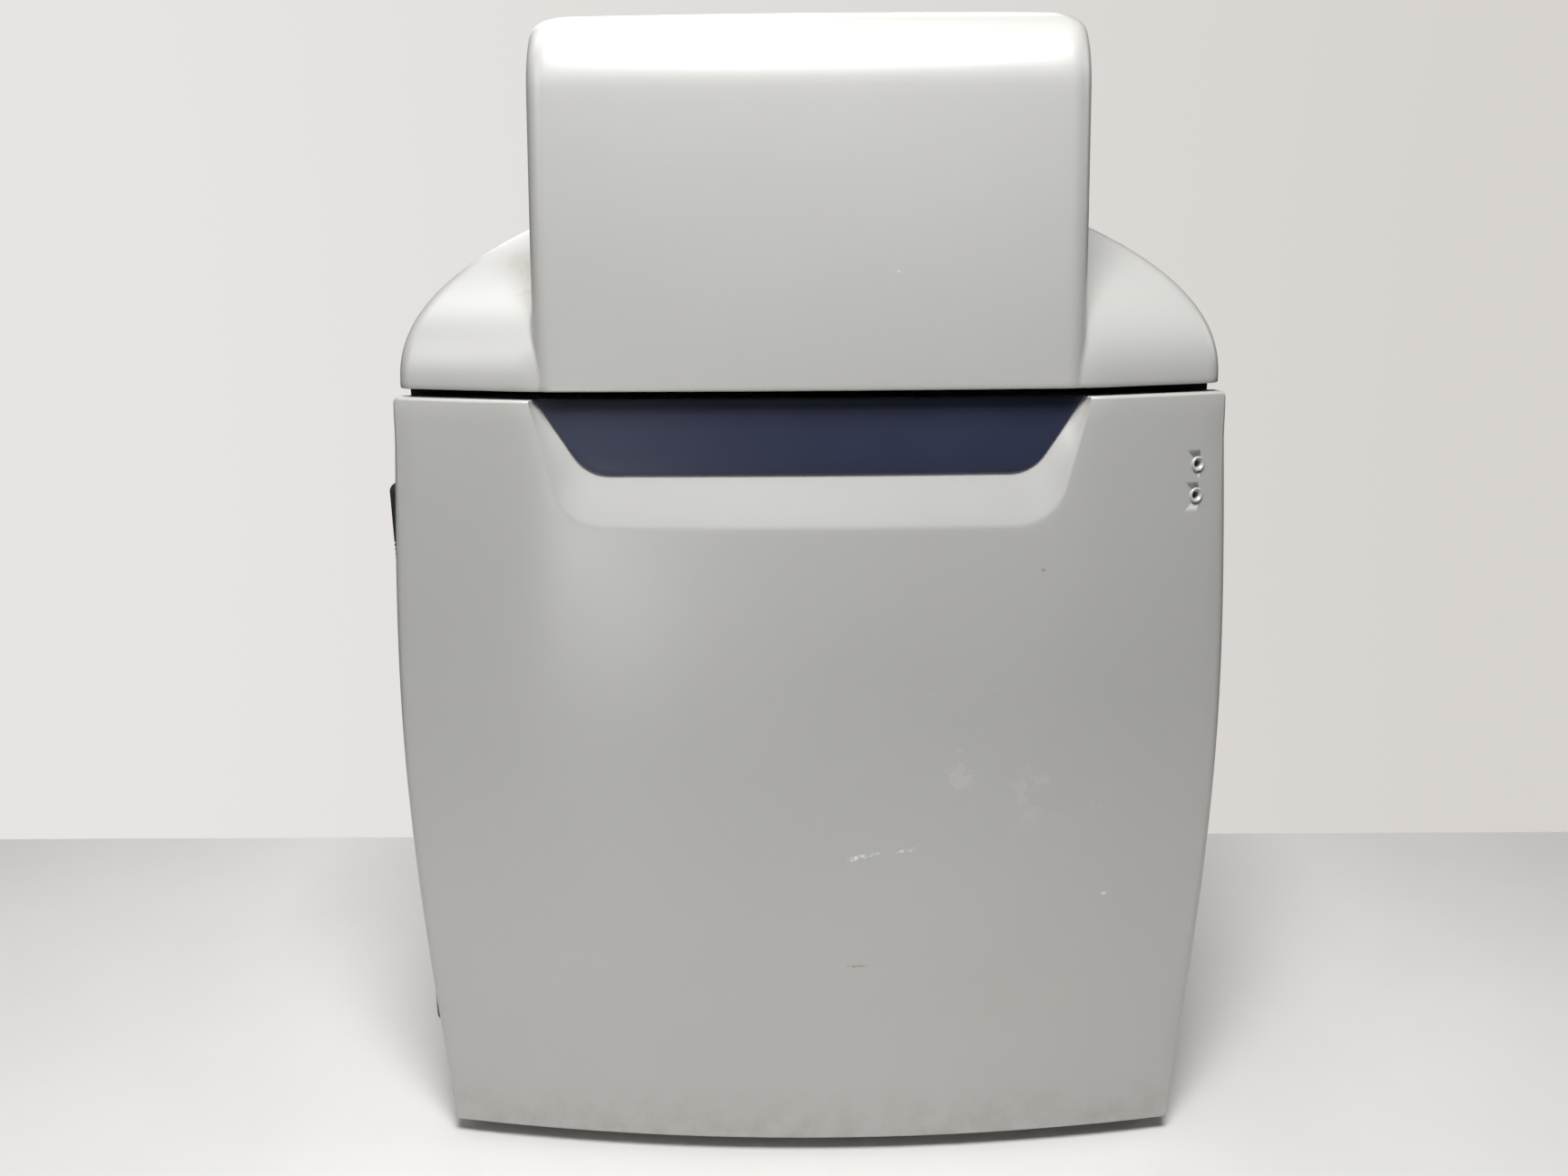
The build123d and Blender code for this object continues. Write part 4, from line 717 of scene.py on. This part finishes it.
def meeting(one, two):
    """Where two paths cross: the place, and the segment and share on each."""
    for i in range(len(one) - 1):
        for j in range(len(two) - 1):
            hit = geometry.intersect_line_line_2d(one[i], one[i + 1], two[j], two[j + 1])
            if hit is not None:
                a = (hit - one[i]).length / max((one[i + 1] - one[i]).length, 1e-9)
                c = (hit - two[j]).length / max((two[j + 1] - two[j]).length, 1e-9)
                return hit, i, a, j, c
    return None


def meet_height():
    """Height at which the shoulders sink into the hood's sides."""
    low = cover_bottom_z
    high = cover_bottom_z + shoulder_rise
    for _ in range(50):
        middle = (low + high) / 2
        if shoulder_half(middle, 0) > hood_half(middle, 0):
            low = middle
        else:
            high = middle
    return low


meet_z = meet_height()
meet_y = shoulder_outline(meet_z, 0)[0][-2].y


def seam_arc(centre, leave, join):
    """Concave arc about a centre, from the hood's side to the shoulder."""
    one = leave - centre
    two = join - centre
    sweep = one.angle(two)
    arc = []
    for k in range(arc_steps + 1):
        share = k / arc_steps
        place = one
        if sweep > 1e-4:
            place = (one * math.sin((1 - share) * sweep) + two * math.sin(share * sweep)) / math.sin(sweep)
        arc.append(centre + place)
    return arc


def cover_ring(z, inset):
    """Right half of the cover's plan at one height: hood front, corner, side, seam, shoulder, rear."""
    hood = hood_outline(z, inset)
    corner_start = hood_front_steps
    corner_end = hood_front_steps + corner_steps
    search_start = corner_start - 6
    found = None
    if z < meet_z - 0.05:
        shoulder, bend_start = shoulder_outline(z, inset)
        share = (z - cover_bottom_z) / (meet_z - cover_bottom_z)
        radius = lerp(seam_round_low, seam_round_high, min(share * 1.6, 1.0))
        found = meeting(pushed_out(hood, radius)[search_start:], pushed_out(shoulder, radius))
    if found is None:
        side = Vector((hood[-1].x, max(meet_y, hood[corner_end].y)))
        parts = [hood[: corner_start + 1], hood[corner_start: corner_end + 1], [hood[corner_end], side]]
        parts += [[side, side]] * 3 + [[side, hood[-1]]]
    else:
        centre, i, a, j, c = found
        i += search_start
        leave = hood[i].lerp(hood[i + 1], a)
        join = shoulder[j].lerp(shoulder[j + 1], c)
        bend_end = bend_start + corner_steps
        parts = [hood[: corner_start + 1]]
        if i < corner_end:
            parts += [hood[corner_start: i + 1] + [leave], [leave, leave]]
        else:
            parts += [hood[corner_start: corner_end + 1], [hood[corner_end], leave]]
        parts.append(seam_arc(centre, leave, join))
        if j < bend_start:
            parts += [[join] + shoulder[j + 1: bend_start + 1], shoulder[bend_start: bend_end + 1]]
        else:
            parts += [[join, join], [join] + shoulder[j + 1: bend_end + 1]]
        parts.append([shoulder[bend_end], shoulder[-1]])
    ring = []
    for path, count in zip(parts, ring_steps):
        ring += walk(path, count)[:-1]
    return ring + [parts[-1][-1]]


def cover_levels():
    """Heights of the cover's rings and how far each is set in: close together where the form turns."""
    rounding = ((0.0, 0.9), (0.12, 0.5), (0.4, 0.18), (0.9, 0.0))
    levels = [(cover_bottom_z + rise, inset) for rise, inset in rounding]
    z = cover_bottom_z + 3.5
    while z < meet_z - 2:
        levels.append((z, 0.0))
        z += 3.0 if z < meet_z - 14 else 1.5
    levels += [(meet_z - 0.8, 0.0), (meet_z - 0.2, 0.0), (meet_z, 0.0)]
    start = cover_top_z - hood_front_round
    z = meet_z + 6
    while z < start - 3:
        levels.append((z, 0.0))
        z += 7.0
    rises = {round(hood_front_round * math.sin(math.pi / 2 * k / 16), 3) for k in range(17)}
    rises |= {
        round(hood_front_round - hood_edge_round * (1 - math.sin(math.pi / 2 * k / 8)), 3) for k in range(8)
    }
    ordered = []
    for rise in sorted(rises):
        if not ordered or rise - ordered[-1] > 0.12 or rise == hood_front_round:
            ordered.append(rise)
    return levels + [(start + rise, 0.0) for rise in ordered]


def cover_skin():
    """Hood and shoulders as one moulded shell, open below and behind."""
    points = []
    rows = []
    for z, inset in cover_levels():
        right = cover_ring(z, inset)
        ring = [(-p.x, p.y) for p in reversed(right[1:])] + [(p.x, p.y) for p in right]
        rows.append(range(len(points), len(points) + len(ring)))
        points += [(x, y, z) for x, y in ring]
    faces = []
    for low, high in zip(rows, rows[1:]):
        for k in range(len(low) - 1):
            faces.append((low[k], low[k + 1], high[k + 1], high[k]))
    top = rows[-1]
    size = len(top)
    middle = size // 2
    for k in range(middle - 1):
        faces.append((top[k], top[k + 1], top[size - 2 - k], top[size - 1 - k]))
    faces.append((top[middle - 1], top[middle], top[middle + 1]))
    mesh = bpy.data.meshes.new("cover_skin")
    mesh.from_pydata([(x * MM, y * MM, z * MM) for x, y, z in points], [], faces)
    work = bmesh.new()
    work.from_mesh(mesh)
    bmesh.ops.remove_doubles(work, verts=work.verts, dist=0.02 * MM)
    bmesh.ops.dissolve_degenerate(work, edges=work.edges, dist=0.01 * MM)
    bmesh.ops.recalc_face_normals(work, faces=work.faces)
    front = min(work.faces, key=lambda face: face.calc_center_median().y)
    if front.normal.y > 0:
        bmesh.ops.reverse_faces(work, faces=work.faces)
    work.to_mesh(mesh)
    work.free()
    piece = bpy.data.objects.new("cover_skin", mesh)
    bpy.context.scene.collection.objects.link(piece)
    shell = piece.modifiers.new("wall", "SOLIDIFY")
    shell.thickness = cover_wall * MM
    shell.offset = -1.0
    bake(piece)
    return piece


# Seal on the door


def seal_ring():
    """Soft bulb seal that runs round the inner panel, with two thin lips."""
    corner_x = seal_half - seal_corner
    low = seal_bottom_z + seal_corner
    high = seal_top_z - seal_corner
    path = []
    centres = ((corner_x, low), (corner_x, high), (-corner_x, high), (-corner_x, low))
    for quarter, (cx, cz) in enumerate(centres):
        for k in range(9):
            a = math.radians(90 * (quarter - 1 + k / 8))
            nx = math.cos(a)
            nz = math.sin(a)
            path.append((cx + seal_corner * nx, cz + seal_corner * nz, nx, nz))
    half_profile = [(0.0, 0.0), (0.0, 0.5), (1.2, 0.7), (1.7, 1.4), (2.6, 1.95), (4.0, 2.15)]
    profile = half_profile + [(8.0 - across, rise) for across, rise in reversed(half_profile[:-1])]
    points = []
    faces = []
    width = len(profile)
    count = len(path)
    for x, z, nx, nz in path:
        points += [(x - nx * across, seal_base_y + rise, z - nz * across) for across, rise in profile]
    for k in range(count):
        after = (k + 1) % count
        for j in range(width):
            nxt = (j + 1) % width
            faces.append((k * width + j, after * width + j, after * width + nxt, k * width + nxt))
    return make_piece("seal_ring", points, faces, sharp=60)


# Finishes


def graph(name):
    """New node material with its shader and an object-space coordinate."""
    material = bpy.data.materials.new(name)
    material.use_nodes = True
    tree = material.node_tree
    shader = tree.nodes["Principled BSDF"]
    place = tree.nodes.new("ShaderNodeTexCoord")
    return material, tree, shader, place.outputs["Object"]


def stretched(tree, vector, scale):
    """Coordinate scaled along each axis."""
    mapping = tree.nodes.new("ShaderNodeMapping")
    mapping.inputs["Scale"].default_value = scale
    tree.links.new(vector, mapping.inputs["Vector"])
    return mapping.outputs["Vector"]


def noise(tree, vector, scale, detail=3.0, roughness=0.5):
    """Noise value."""
    node = tree.nodes.new("ShaderNodeTexNoise")
    node.inputs["Scale"].default_value = scale
    node.inputs["Detail"].default_value = detail
    node.inputs["Roughness"].default_value = roughness
    tree.links.new(vector, node.inputs["Vector"])
    return node.outputs["Fac"]


def ramp(tree, value, low, high, out_low=0.0, out_high=1.0):
    """Value mapped from one range to another, clamped."""
    node = tree.nodes.new("ShaderNodeMapRange")
    node.inputs["From Min"].default_value = low
    node.inputs["From Max"].default_value = high
    node.inputs["To Min"].default_value = out_low
    node.inputs["To Max"].default_value = out_high
    tree.links.new(value, node.inputs["Value"])
    return node.outputs["Result"]


def combine(tree, operation, a, b):
    """Math node on two values; either may be a number."""
    node = tree.nodes.new("ShaderNodeMath")
    node.operation = operation
    for socket, value in zip(node.inputs, (a, b)):
        if isinstance(value, (int, float)):
            socket.default_value = value
        else:
            tree.links.new(value, socket)
    return node.outputs[0]


def blend_colour(tree, share, one, two):
    """Colour mixed by a share; each colour is a tuple or an output."""
    node = tree.nodes.new("ShaderNodeMix")
    node.data_type = "RGBA"
    tree.links.new(share, node.inputs["Factor"])
    for socket, colour in ((node.inputs[6], one), (node.inputs[7], two)):
        if isinstance(colour, tuple):
            socket.default_value = (*colour, 1.0)
        else:
            tree.links.new(colour, socket)
    return node.outputs[2]


def bump(tree, shader, height, strength, distance):
    """Bump from a height onto the shader."""
    node = tree.nodes.new("ShaderNodeBump")
    node.inputs["Strength"].default_value = strength
    node.inputs["Distance"].default_value = distance
    tree.links.new(height, node.inputs["Height"])
    tree.links.new(node.outputs["Normal"], shader.inputs["Normal"])


def shaded(colour, factor):
    """Colour made lighter or darker by a factor."""
    return tuple(min(1.0, c * factor) for c in colour)


def plain_finish(
    name, colour, rough, patch, grain, metallic=0.0, rough_vary=0.06, stretch=None, coat=0.0, spec=0.5
):
    """General finish: a base colour with slow patches, uneven roughness and a fine grain.

    patch holds the patches' scale and strength, grain the bump's scale, strength and depth in metres.
    """
    patch_scale, patch_strength = patch
    grain_scale, grain_strength, grain_depth = grain
    material, tree, shader, place = graph(name)
    shader.inputs["Metallic"].default_value = metallic
    shader.inputs["Specular IOR Level"].default_value = spec
    if coat:
        shader.inputs["Coat Weight"].default_value = coat
        shader.inputs["Coat Roughness"].default_value = 0.08
    where = stretched(tree, place, stretch) if stretch else place
    slow = noise(tree, place, patch_scale, 4.0, 0.6)
    share = ramp(tree, slow, 0.3, 0.7)
    tree.links.new(
        blend_colour(tree, share, shaded(colour, 1 - patch_strength), shaded(colour, 1 + patch_strength)),
        shader.inputs["Base Color"],
    )
    fine = noise(tree, where, grain_scale, 2.0, 0.6)
    mixed = combine(tree, "ADD", slow, combine(tree, "MULTIPLY", fine, 0.6))
    tree.links.new(
        ramp(tree, mixed, 0.4, 1.2, max(rough - rough_vary, 0.02), min(rough + rough_vary, 1.0)),
        shader.inputs["Roughness"],
    )
    bump(tree, shader, fine, grain_strength, grain_depth)
    return material


def spot_mask(tree, place, centre, half_sizes, turn, fray, cover):
    """Ragged elongated mark in the X-Z plane: 1 inside, 0 outside. Sizes in millimetres."""
    split = tree.nodes.new("ShaderNodeSeparateXYZ")
    tree.links.new(place, split.inputs[0])
    dx = combine(tree, "SUBTRACT", split.outputs["X"], centre[0] * MM)
    dz = combine(tree, "SUBTRACT", split.outputs["Z"], centre[1] * MM)
    ca = math.cos(math.radians(turn))
    sa = math.sin(math.radians(turn))
    along = combine(tree, "ADD", combine(tree, "MULTIPLY", dx, ca), combine(tree, "MULTIPLY", dz, sa))
    over = combine(tree, "SUBTRACT", combine(tree, "MULTIPLY", dz, ca), combine(tree, "MULTIPLY", dx, sa))
    squares = []
    for value, half_size in ((along, half_sizes[0]), (over, half_sizes[1])):
        share = combine(tree, "DIVIDE", value, half_size * MM)
        squares.append(combine(tree, "MULTIPLY", share, share))
    inside = ramp(tree, combine(tree, "ADD", squares[0], squares[1]), 1.0, 0.35)
    ragged = ramp(tree, noise(tree, place, fray, 5.0, 0.7), cover, cover + 0.06)
    return combine(tree, "MULTIPLY", inside, ragged)


paint_colour = (0.38, 0.377, 0.362)
bottom_dark_colour = (0.2, 0.17, 0.13)


def paint(name, marks=(), bottom_darkening=0.0):
    """Satin warm grey paint: faint orange peel, cloudy patches, and the marks of use it is given."""
    material, tree, shader, place = graph(name)
    shader.inputs["Specular IOR Level"].default_value = 0.9
    shader.inputs["Coat Weight"].default_value = 0.4
    shader.inputs["Coat Roughness"].default_value = 0.3
    slow = noise(tree, place, 5.0, 4.0, 0.55)
    cloudy = ramp(tree, slow, 0.3, 0.7)
    colour = blend_colour(tree, cloudy, shaded(paint_colour, 0.975), shaded(paint_colour, 1.02))
    specks = ramp(tree, noise(tree, place, 420.0, 2.0, 0.5), 0.72, 0.78, 0.0, 0.25)
    colour = blend_colour(tree, specks, colour, shaded(paint_colour, 0.72))
    rough = ramp(tree, noise(tree, place, 22.0, 5.0, 0.65), 0.3, 0.7, 0.32, 0.38)
    # Darker and browner towards the bottom edge, in patches
    if bottom_darkening:
        low = tree.nodes.new("ShaderNodeSeparateXYZ")
        tree.links.new(place, low.inputs[0])
        foot = ramp(tree, low.outputs["Z"], 0.055, 0.012, 0.0, bottom_darkening)
        patchy = combine(tree, "MULTIPLY", foot, ramp(tree, noise(tree, place, 60.0, 5.0, 0.7), 0.4, 0.65))
        colour = blend_colour(tree, patchy, colour, bottom_dark_colour)
    for centre, sizes, turn, fray, cover, tone, strength in marks:
        mask = combine(tree, "MULTIPLY", spot_mask(tree, place, centre, sizes, turn, fray, cover), strength)
        colour = blend_colour(tree, mask, colour, tone)
        rough = combine(tree, "ADD", rough, combine(tree, "MULTIPLY", mask, 0.2))
    tree.links.new(colour, shader.inputs["Base Color"])
    tree.links.new(rough, shader.inputs["Roughness"])
    peel = noise(tree, place, 520.0, 2.0, 0.4)
    bump(tree, shader, peel, 0.12, 0.00012)
    return material


def clear_finish(name, colour, rough, ior, through):
    """Glass-like finish with faint dust in its colour and roughness."""
    material, tree, shader, place = graph(name)
    shader.inputs["Transmission Weight"].default_value = through
    shader.inputs["IOR"].default_value = ior
    dust = noise(tree, place, 260.0, 4.0, 0.6)
    tree.links.new(
        blend_colour(tree, ramp(tree, dust, 0.55, 0.75, 0.0, 0.3), colour, shaded(colour, 1.25)),
        shader.inputs["Base Color"],
    )
    tree.links.new(ramp(tree, dust, 0.4, 0.8, rough, rough + 0.08), shader.inputs["Roughness"])
    return material


# Marks of use: centre (x, z), half sizes, turn, scale of the fraying, threshold, colour, strength
white_mark = (0.82, 0.81, 0.78)
dark_mark = (0.16, 0.12, 0.09)
door_marks = (
    ((34.0, 228.5), (14.0, 2.2), 12.0, 260.0, 0.50, white_mark, 0.75),
    ((63.5, 232.8), (8.5, 1.6), 10.0, 300.0, 0.52, white_mark, 0.6),
    ((187.2, 261.1), (7.0, 3.0), 0.0, 500.0, 0.60, white_mark, 0.6),
    ((197.9, 195.5), (3.2, 1.6), 10.0, 300.0, 0.45, white_mark, 0.8),
    ((31.5, 148.2), (8.5, 0.9), 3.0, 500.0, 0.46, dark_mark, 0.8),
    ((144.7, 420.5), (1.6, 1.3), 0.0, 100.0, 0.30, dark_mark, 0.55),
    ((-256.5, 15.5), (2.0, 2.2), 0.0, 300.0, 0.35, dark_mark, 0.8),
    ((150.0, 120.0), (46.0, 26.0), 20.0, 45.0, 0.56, (0.42, 0.39, 0.33), 0.35),
    ((120.0, 300.0), (90.0, 60.0), 0.0, 30.0, 0.58, white_mark, 0.10),
)
cover_marks = (
    ((52.0, 600.0), (5.0, 1.2), 15.0, 420.0, 0.50, white_mark, 0.55),
    ((-176.0, 600.0), (14.0, 22.0), 30.0, 60.0, 0.50, (0.36, 0.31, 0.25), 0.5),
)

finishes = {
    "paint_door": paint("paint_door", door_marks, bottom_darkening=0.35),
    "paint_cover": paint("paint_cover", cover_marks),
    "paint_panel": paint("paint_panel"),
}
for name, colour, rough, patch, grain, more in (
    ("fascia_gloss", (0.02, 0.024, 0.05), 0.38, (30.0, 0.05), (700.0, 0.05, 0.00005), {"rough_vary": 0.05}),
    ("sheet_black", (0.018, 0.018, 0.019), 0.5, (20.0, 0.15), (1400.0, 0.35, 0.0001), {}),
    ("plastic_black", (0.02, 0.02, 0.021), 0.46, (25.0, 0.12), (1100.0, 0.3, 0.0001), {}),
    ("steel", (0.55, 0.55, 0.56), 0.32, (40.0, 0.05), (500.0, 0.25, 0.00004),
     {"metallic": 1.0, "stretch": (1, 1, 12)}),
    ("aluminium_bare", (0.72, 0.72, 0.73), 0.34, (30.0, 0.04), (600.0, 0.2, 0.00003),
     {"metallic": 1.0, "stretch": (10, 1, 1)}),
    ("aluminium_black", (0.035, 0.035, 0.038), 0.42, (30.0, 0.1), (1600.0, 0.2, 0.00004), {"metallic": 0.4}),
    ("rubber_black", (0.016, 0.016, 0.016), 0.75, (60.0, 0.2), (1800.0, 0.4, 0.0001), {"spec": 0.3}),
    ("magnet", (0.09, 0.09, 0.09), 0.6, (80.0, 0.15), (900.0, 0.4, 0.0001), {}),
    ("zinc", (0.6, 0.6, 0.57), 0.38, (90.0, 0.1), (700.0, 0.15, 0.00004), {"metallic": 1.0}),
    ("board_green", (0.02, 0.13, 0.055), 0.3, (160.0, 0.25), (300.0, 0.3, 0.0002), {"coat": 0.3}),
    ("opal", (0.8, 0.8, 0.77), 0.4, (30.0, 0.02), (900.0, 0.08, 0.00005), {}),
):
    finishes[name] = plain_finish(name, colour, rough, patch, grain, **more)
for name, colour, rough, ior, through in (
    ("filter_dark", (0.02, 0.018, 0.06), 0.06, 1.5, 0.35),
    ("filter_amber", (0.6, 0.2, 0.03), 0.05, 1.5, 0.8),
    ("optical_glass", (0.25, 0.3, 0.38), 0.03, 1.6, 0.9),
    ("lamp_glass", (0.16, 0.13, 0.28), 0.08, 1.5, 0.3),
    ("led_smoke", (0.06, 0.03, 0.025), 0.12, 1.5, 0.4),
):
    finishes[name] = clear_finish(name, colour, rough, ior, through)

# Slots whose finish has another name; every other slot has a finish of its own name
slot_finish = {
    "paint_warm_grey": "paint_panel", "cream_paint": "paint_panel", "bezel_grey": "paint_panel",
    "fascia_blue_black": "fascia_gloss",
}
slot_of = {row["node"]: row["material_slot"] for row in frame["record"]["subparts"]}
for node, thing in nodes.items():
    slot = slot_of[node]
    finish = finishes[slot_finish.get(slot, slot)]
    if not thing.material_slots:
        thing.data.materials.append(finish)
    for holder in thing.material_slots:
        holder.material = finish


def dress(piece, finish, body, node):
    """Gives a piece its finish, its body and the node that it stands for."""
    piece.data.materials.clear()
    piece.data.materials.append(finishes[finish])
    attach(piece, body)
    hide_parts(node)


dress(door_skin(), "paint_door", "door", "door_shell")
dress(fascia_plate(), "fascia_gloss", "door", "fascia_panel")
dress(cover_skin(), "paint_cover", "cabinet", "top_cover")
dress(seal_ring(), "rubber_black", "door", "door_gasket")

# Section of a bezel and of its lamp: distance from the middle, height over the door
bezel_profile = [
    (2.25, -6.0), (3.5, -6.0), (3.5, -0.25), (4.8, -0.25), (4.8, 0.35), (4.7, 0.72), (4.45, 0.98),
    (4.1, 1.1), (3.7, 1.08), (3.35, 0.95), (3.1, 0.7), (2.5, 0.1), (2.3, -0.15), (2.25, -0.5),
]
lamp_profile = [
    (0.0, -9.0), (3.0, -9.0), (3.0, -6.3), (2.15, -6.3), (2.15, -4.6), (1.95, -3.6), (1.45, -2.9),
    (0.8, -2.45), (0.0, -2.3),
]
places = [bezel_frame(z) for z in bezel_levels]
bezels = turned("indicator_bezels", bezel_profile, places)
lamps = turned("indicator_lamps", lamp_profile, places, segments=32)
dress(bezels, "paint_panel", "door", "led_bezels")
dress(lamps, "led_smoke", "door", "led_lenses")


# Floor, background, lamps and camera


def table_top():
    """Pale slab under the object, bevelled at its rear edge."""
    rows = [(-0.8, -0.03), (-0.8, 0.0), (0.262, 0.0), (0.266, -0.004), (0.266, -0.03)]
    half = 1.15
    points = []
    faces = []
    for y, z in rows:
        points += [(-half, y, z), (half, y, z)]
    for k in range(len(rows) - 1):
        faces.append((2 * k, 2 * k + 1, 2 * k + 3, 2 * k + 2))
    faces.append((0, 8, 9, 1))
    mesh = bpy.data.meshes.new("table_top")
    mesh.from_pydata(points, [], faces)
    slab = bpy.data.objects.new("table_top", mesh)
    bpy.context.scene.collection.objects.link(slab)
    material, tree, shader, place = graph("table_laminate")
    shade = ramp(tree, noise(tree, place, 3.0, 4.0, 0.6), 0.3, 0.7)
    colour = blend_colour(tree, shade, (0.64, 0.628, 0.613), (0.68, 0.668, 0.653))
    tree.links.new(colour, shader.inputs["Base Color"])
    rough = ramp(tree, noise(tree, place, 80.0, 4.0, 0.6), 0.3, 0.7, 0.34, 0.46)
    tree.links.new(rough, shader.inputs["Roughness"])
    slab.data.materials.append(material)


def area(name, place, target, size, power):
    """Rectangular soft lamp aimed at a point."""
    lamp = bpy.data.lights.new(name, "AREA")
    lamp.shape = "RECTANGLE"
    lamp.size, lamp.size_y = size
    lamp.energy = power
    holder = bpy.data.objects.new(name, lamp)
    bpy.context.scene.collection.objects.link(holder)
    holder.location = place
    holder.rotation_euler = (Vector(target) - Vector(place)).to_track_quat("-Z", "Y").to_euler()
    holder.visible_camera = False


def pale_room():
    """World that lights the object dimly, and that the camera sees as a pale wall with painted shade, darker
    to the right.
    """
    world = bpy.data.worlds.new("pale_room")
    bpy.context.scene.world = world
    world.use_nodes = True
    sky = world.node_tree
    link = sky.links.new
    around = sky.nodes.new("ShaderNodeTexCoord")
    axes = sky.nodes.new("ShaderNodeSeparateXYZ")
    link(around.outputs["Generated"], axes.inputs[0])
    height_share = ramp(sky, axes.outputs["Z"], -0.35, 0.15)
    room = sky.nodes["Background"]
    link(blend_colour(sky, height_share, (0.02, 0.02, 0.02), (0.03, 0.03, 0.03)), room.inputs["Color"])
    wall = sky.nodes.new("ShaderNodeBackground")
    # Painted shade on the wall that the camera sees: darker to the right
    wall_shade_share = ramp(sky, axes.outputs["X"], -0.45, 0.5)
    link(blend_colour(sky, wall_shade_share, (0.80, 0.775, 0.76), (0.675, 0.645, 0.62)), wall.inputs["Color"])
    paths = sky.nodes.new("ShaderNodeLightPath")
    seen = combine(sky, "MAXIMUM", paths.outputs["Is Camera Ray"], paths.outputs["Is Transmission Ray"])
    choose = sky.nodes.new("ShaderNodeMixShader")
    link(seen, choose.inputs[0])
    link(room.outputs[0], choose.inputs[1])
    link(wall.outputs[0], choose.inputs[2])
    link(choose.outputs[0], sky.nodes["World Output"].inputs["Surface"])


def photo_camera():
    """Camera at the photograph's place, slightly turned and rolled as there."""
    lens = bpy.data.cameras.new("camera")
    lens.sensor_width = 36.0
    lens.lens = 27.08
    lens.clip_start = 0.01
    camera = bpy.data.objects.new("camera", lens)
    bpy.context.scene.collection.objects.link(camera)
    turn = Matrix.Rotation(math.radians(0.4), 4, "Z") @ Matrix.Rotation(math.radians(75.55), 4, "X")
    turn = turn @ Matrix.Rotation(math.radians(-0.45), 4, "Z")
    camera.matrix_world = Matrix.Translation((-0.011, -0.9375, 0.593)) @ turn
    bpy.context.scene.camera = camera


table_top()
area("overhead_front", (0.0, -0.84, 1.66), (0.0, -0.2, 0.6), (0.6, 0.45), 37.0)
area("high_window", (-0.9, -3.0, 2.1), (-0.05, -0.2, 0.5), (1.6, 1.2), 2.5)
area("left_window", (-1.6, -1.1, 1.3), (-0.3, -0.3, 0.3), (0.8, 0.8), 5.0)
area("back_ceiling", (-0.8, 0.15, 2.1), (-0.8, 0.1, 0.0), (1.6, 0.7), 7.0)
area("low_left", (-0.47, -1.32, 0.16), (-0.1, -0.23, 0.39), (0.24, 0.24), 1.0)
area("right_fill", (1.9, 0.1, 1.3), (0.2, 0.0, 0.4), (1.0, 1.0), 4.0)
area("rear_fill", (-0.2, 1.7, 1.5), (0.0, 0.1, 0.3), (1.6, 1.4), 14.0)
pale_room()
photo_camera()
bpy.context.scene.view_settings.view_transform = "Standard"
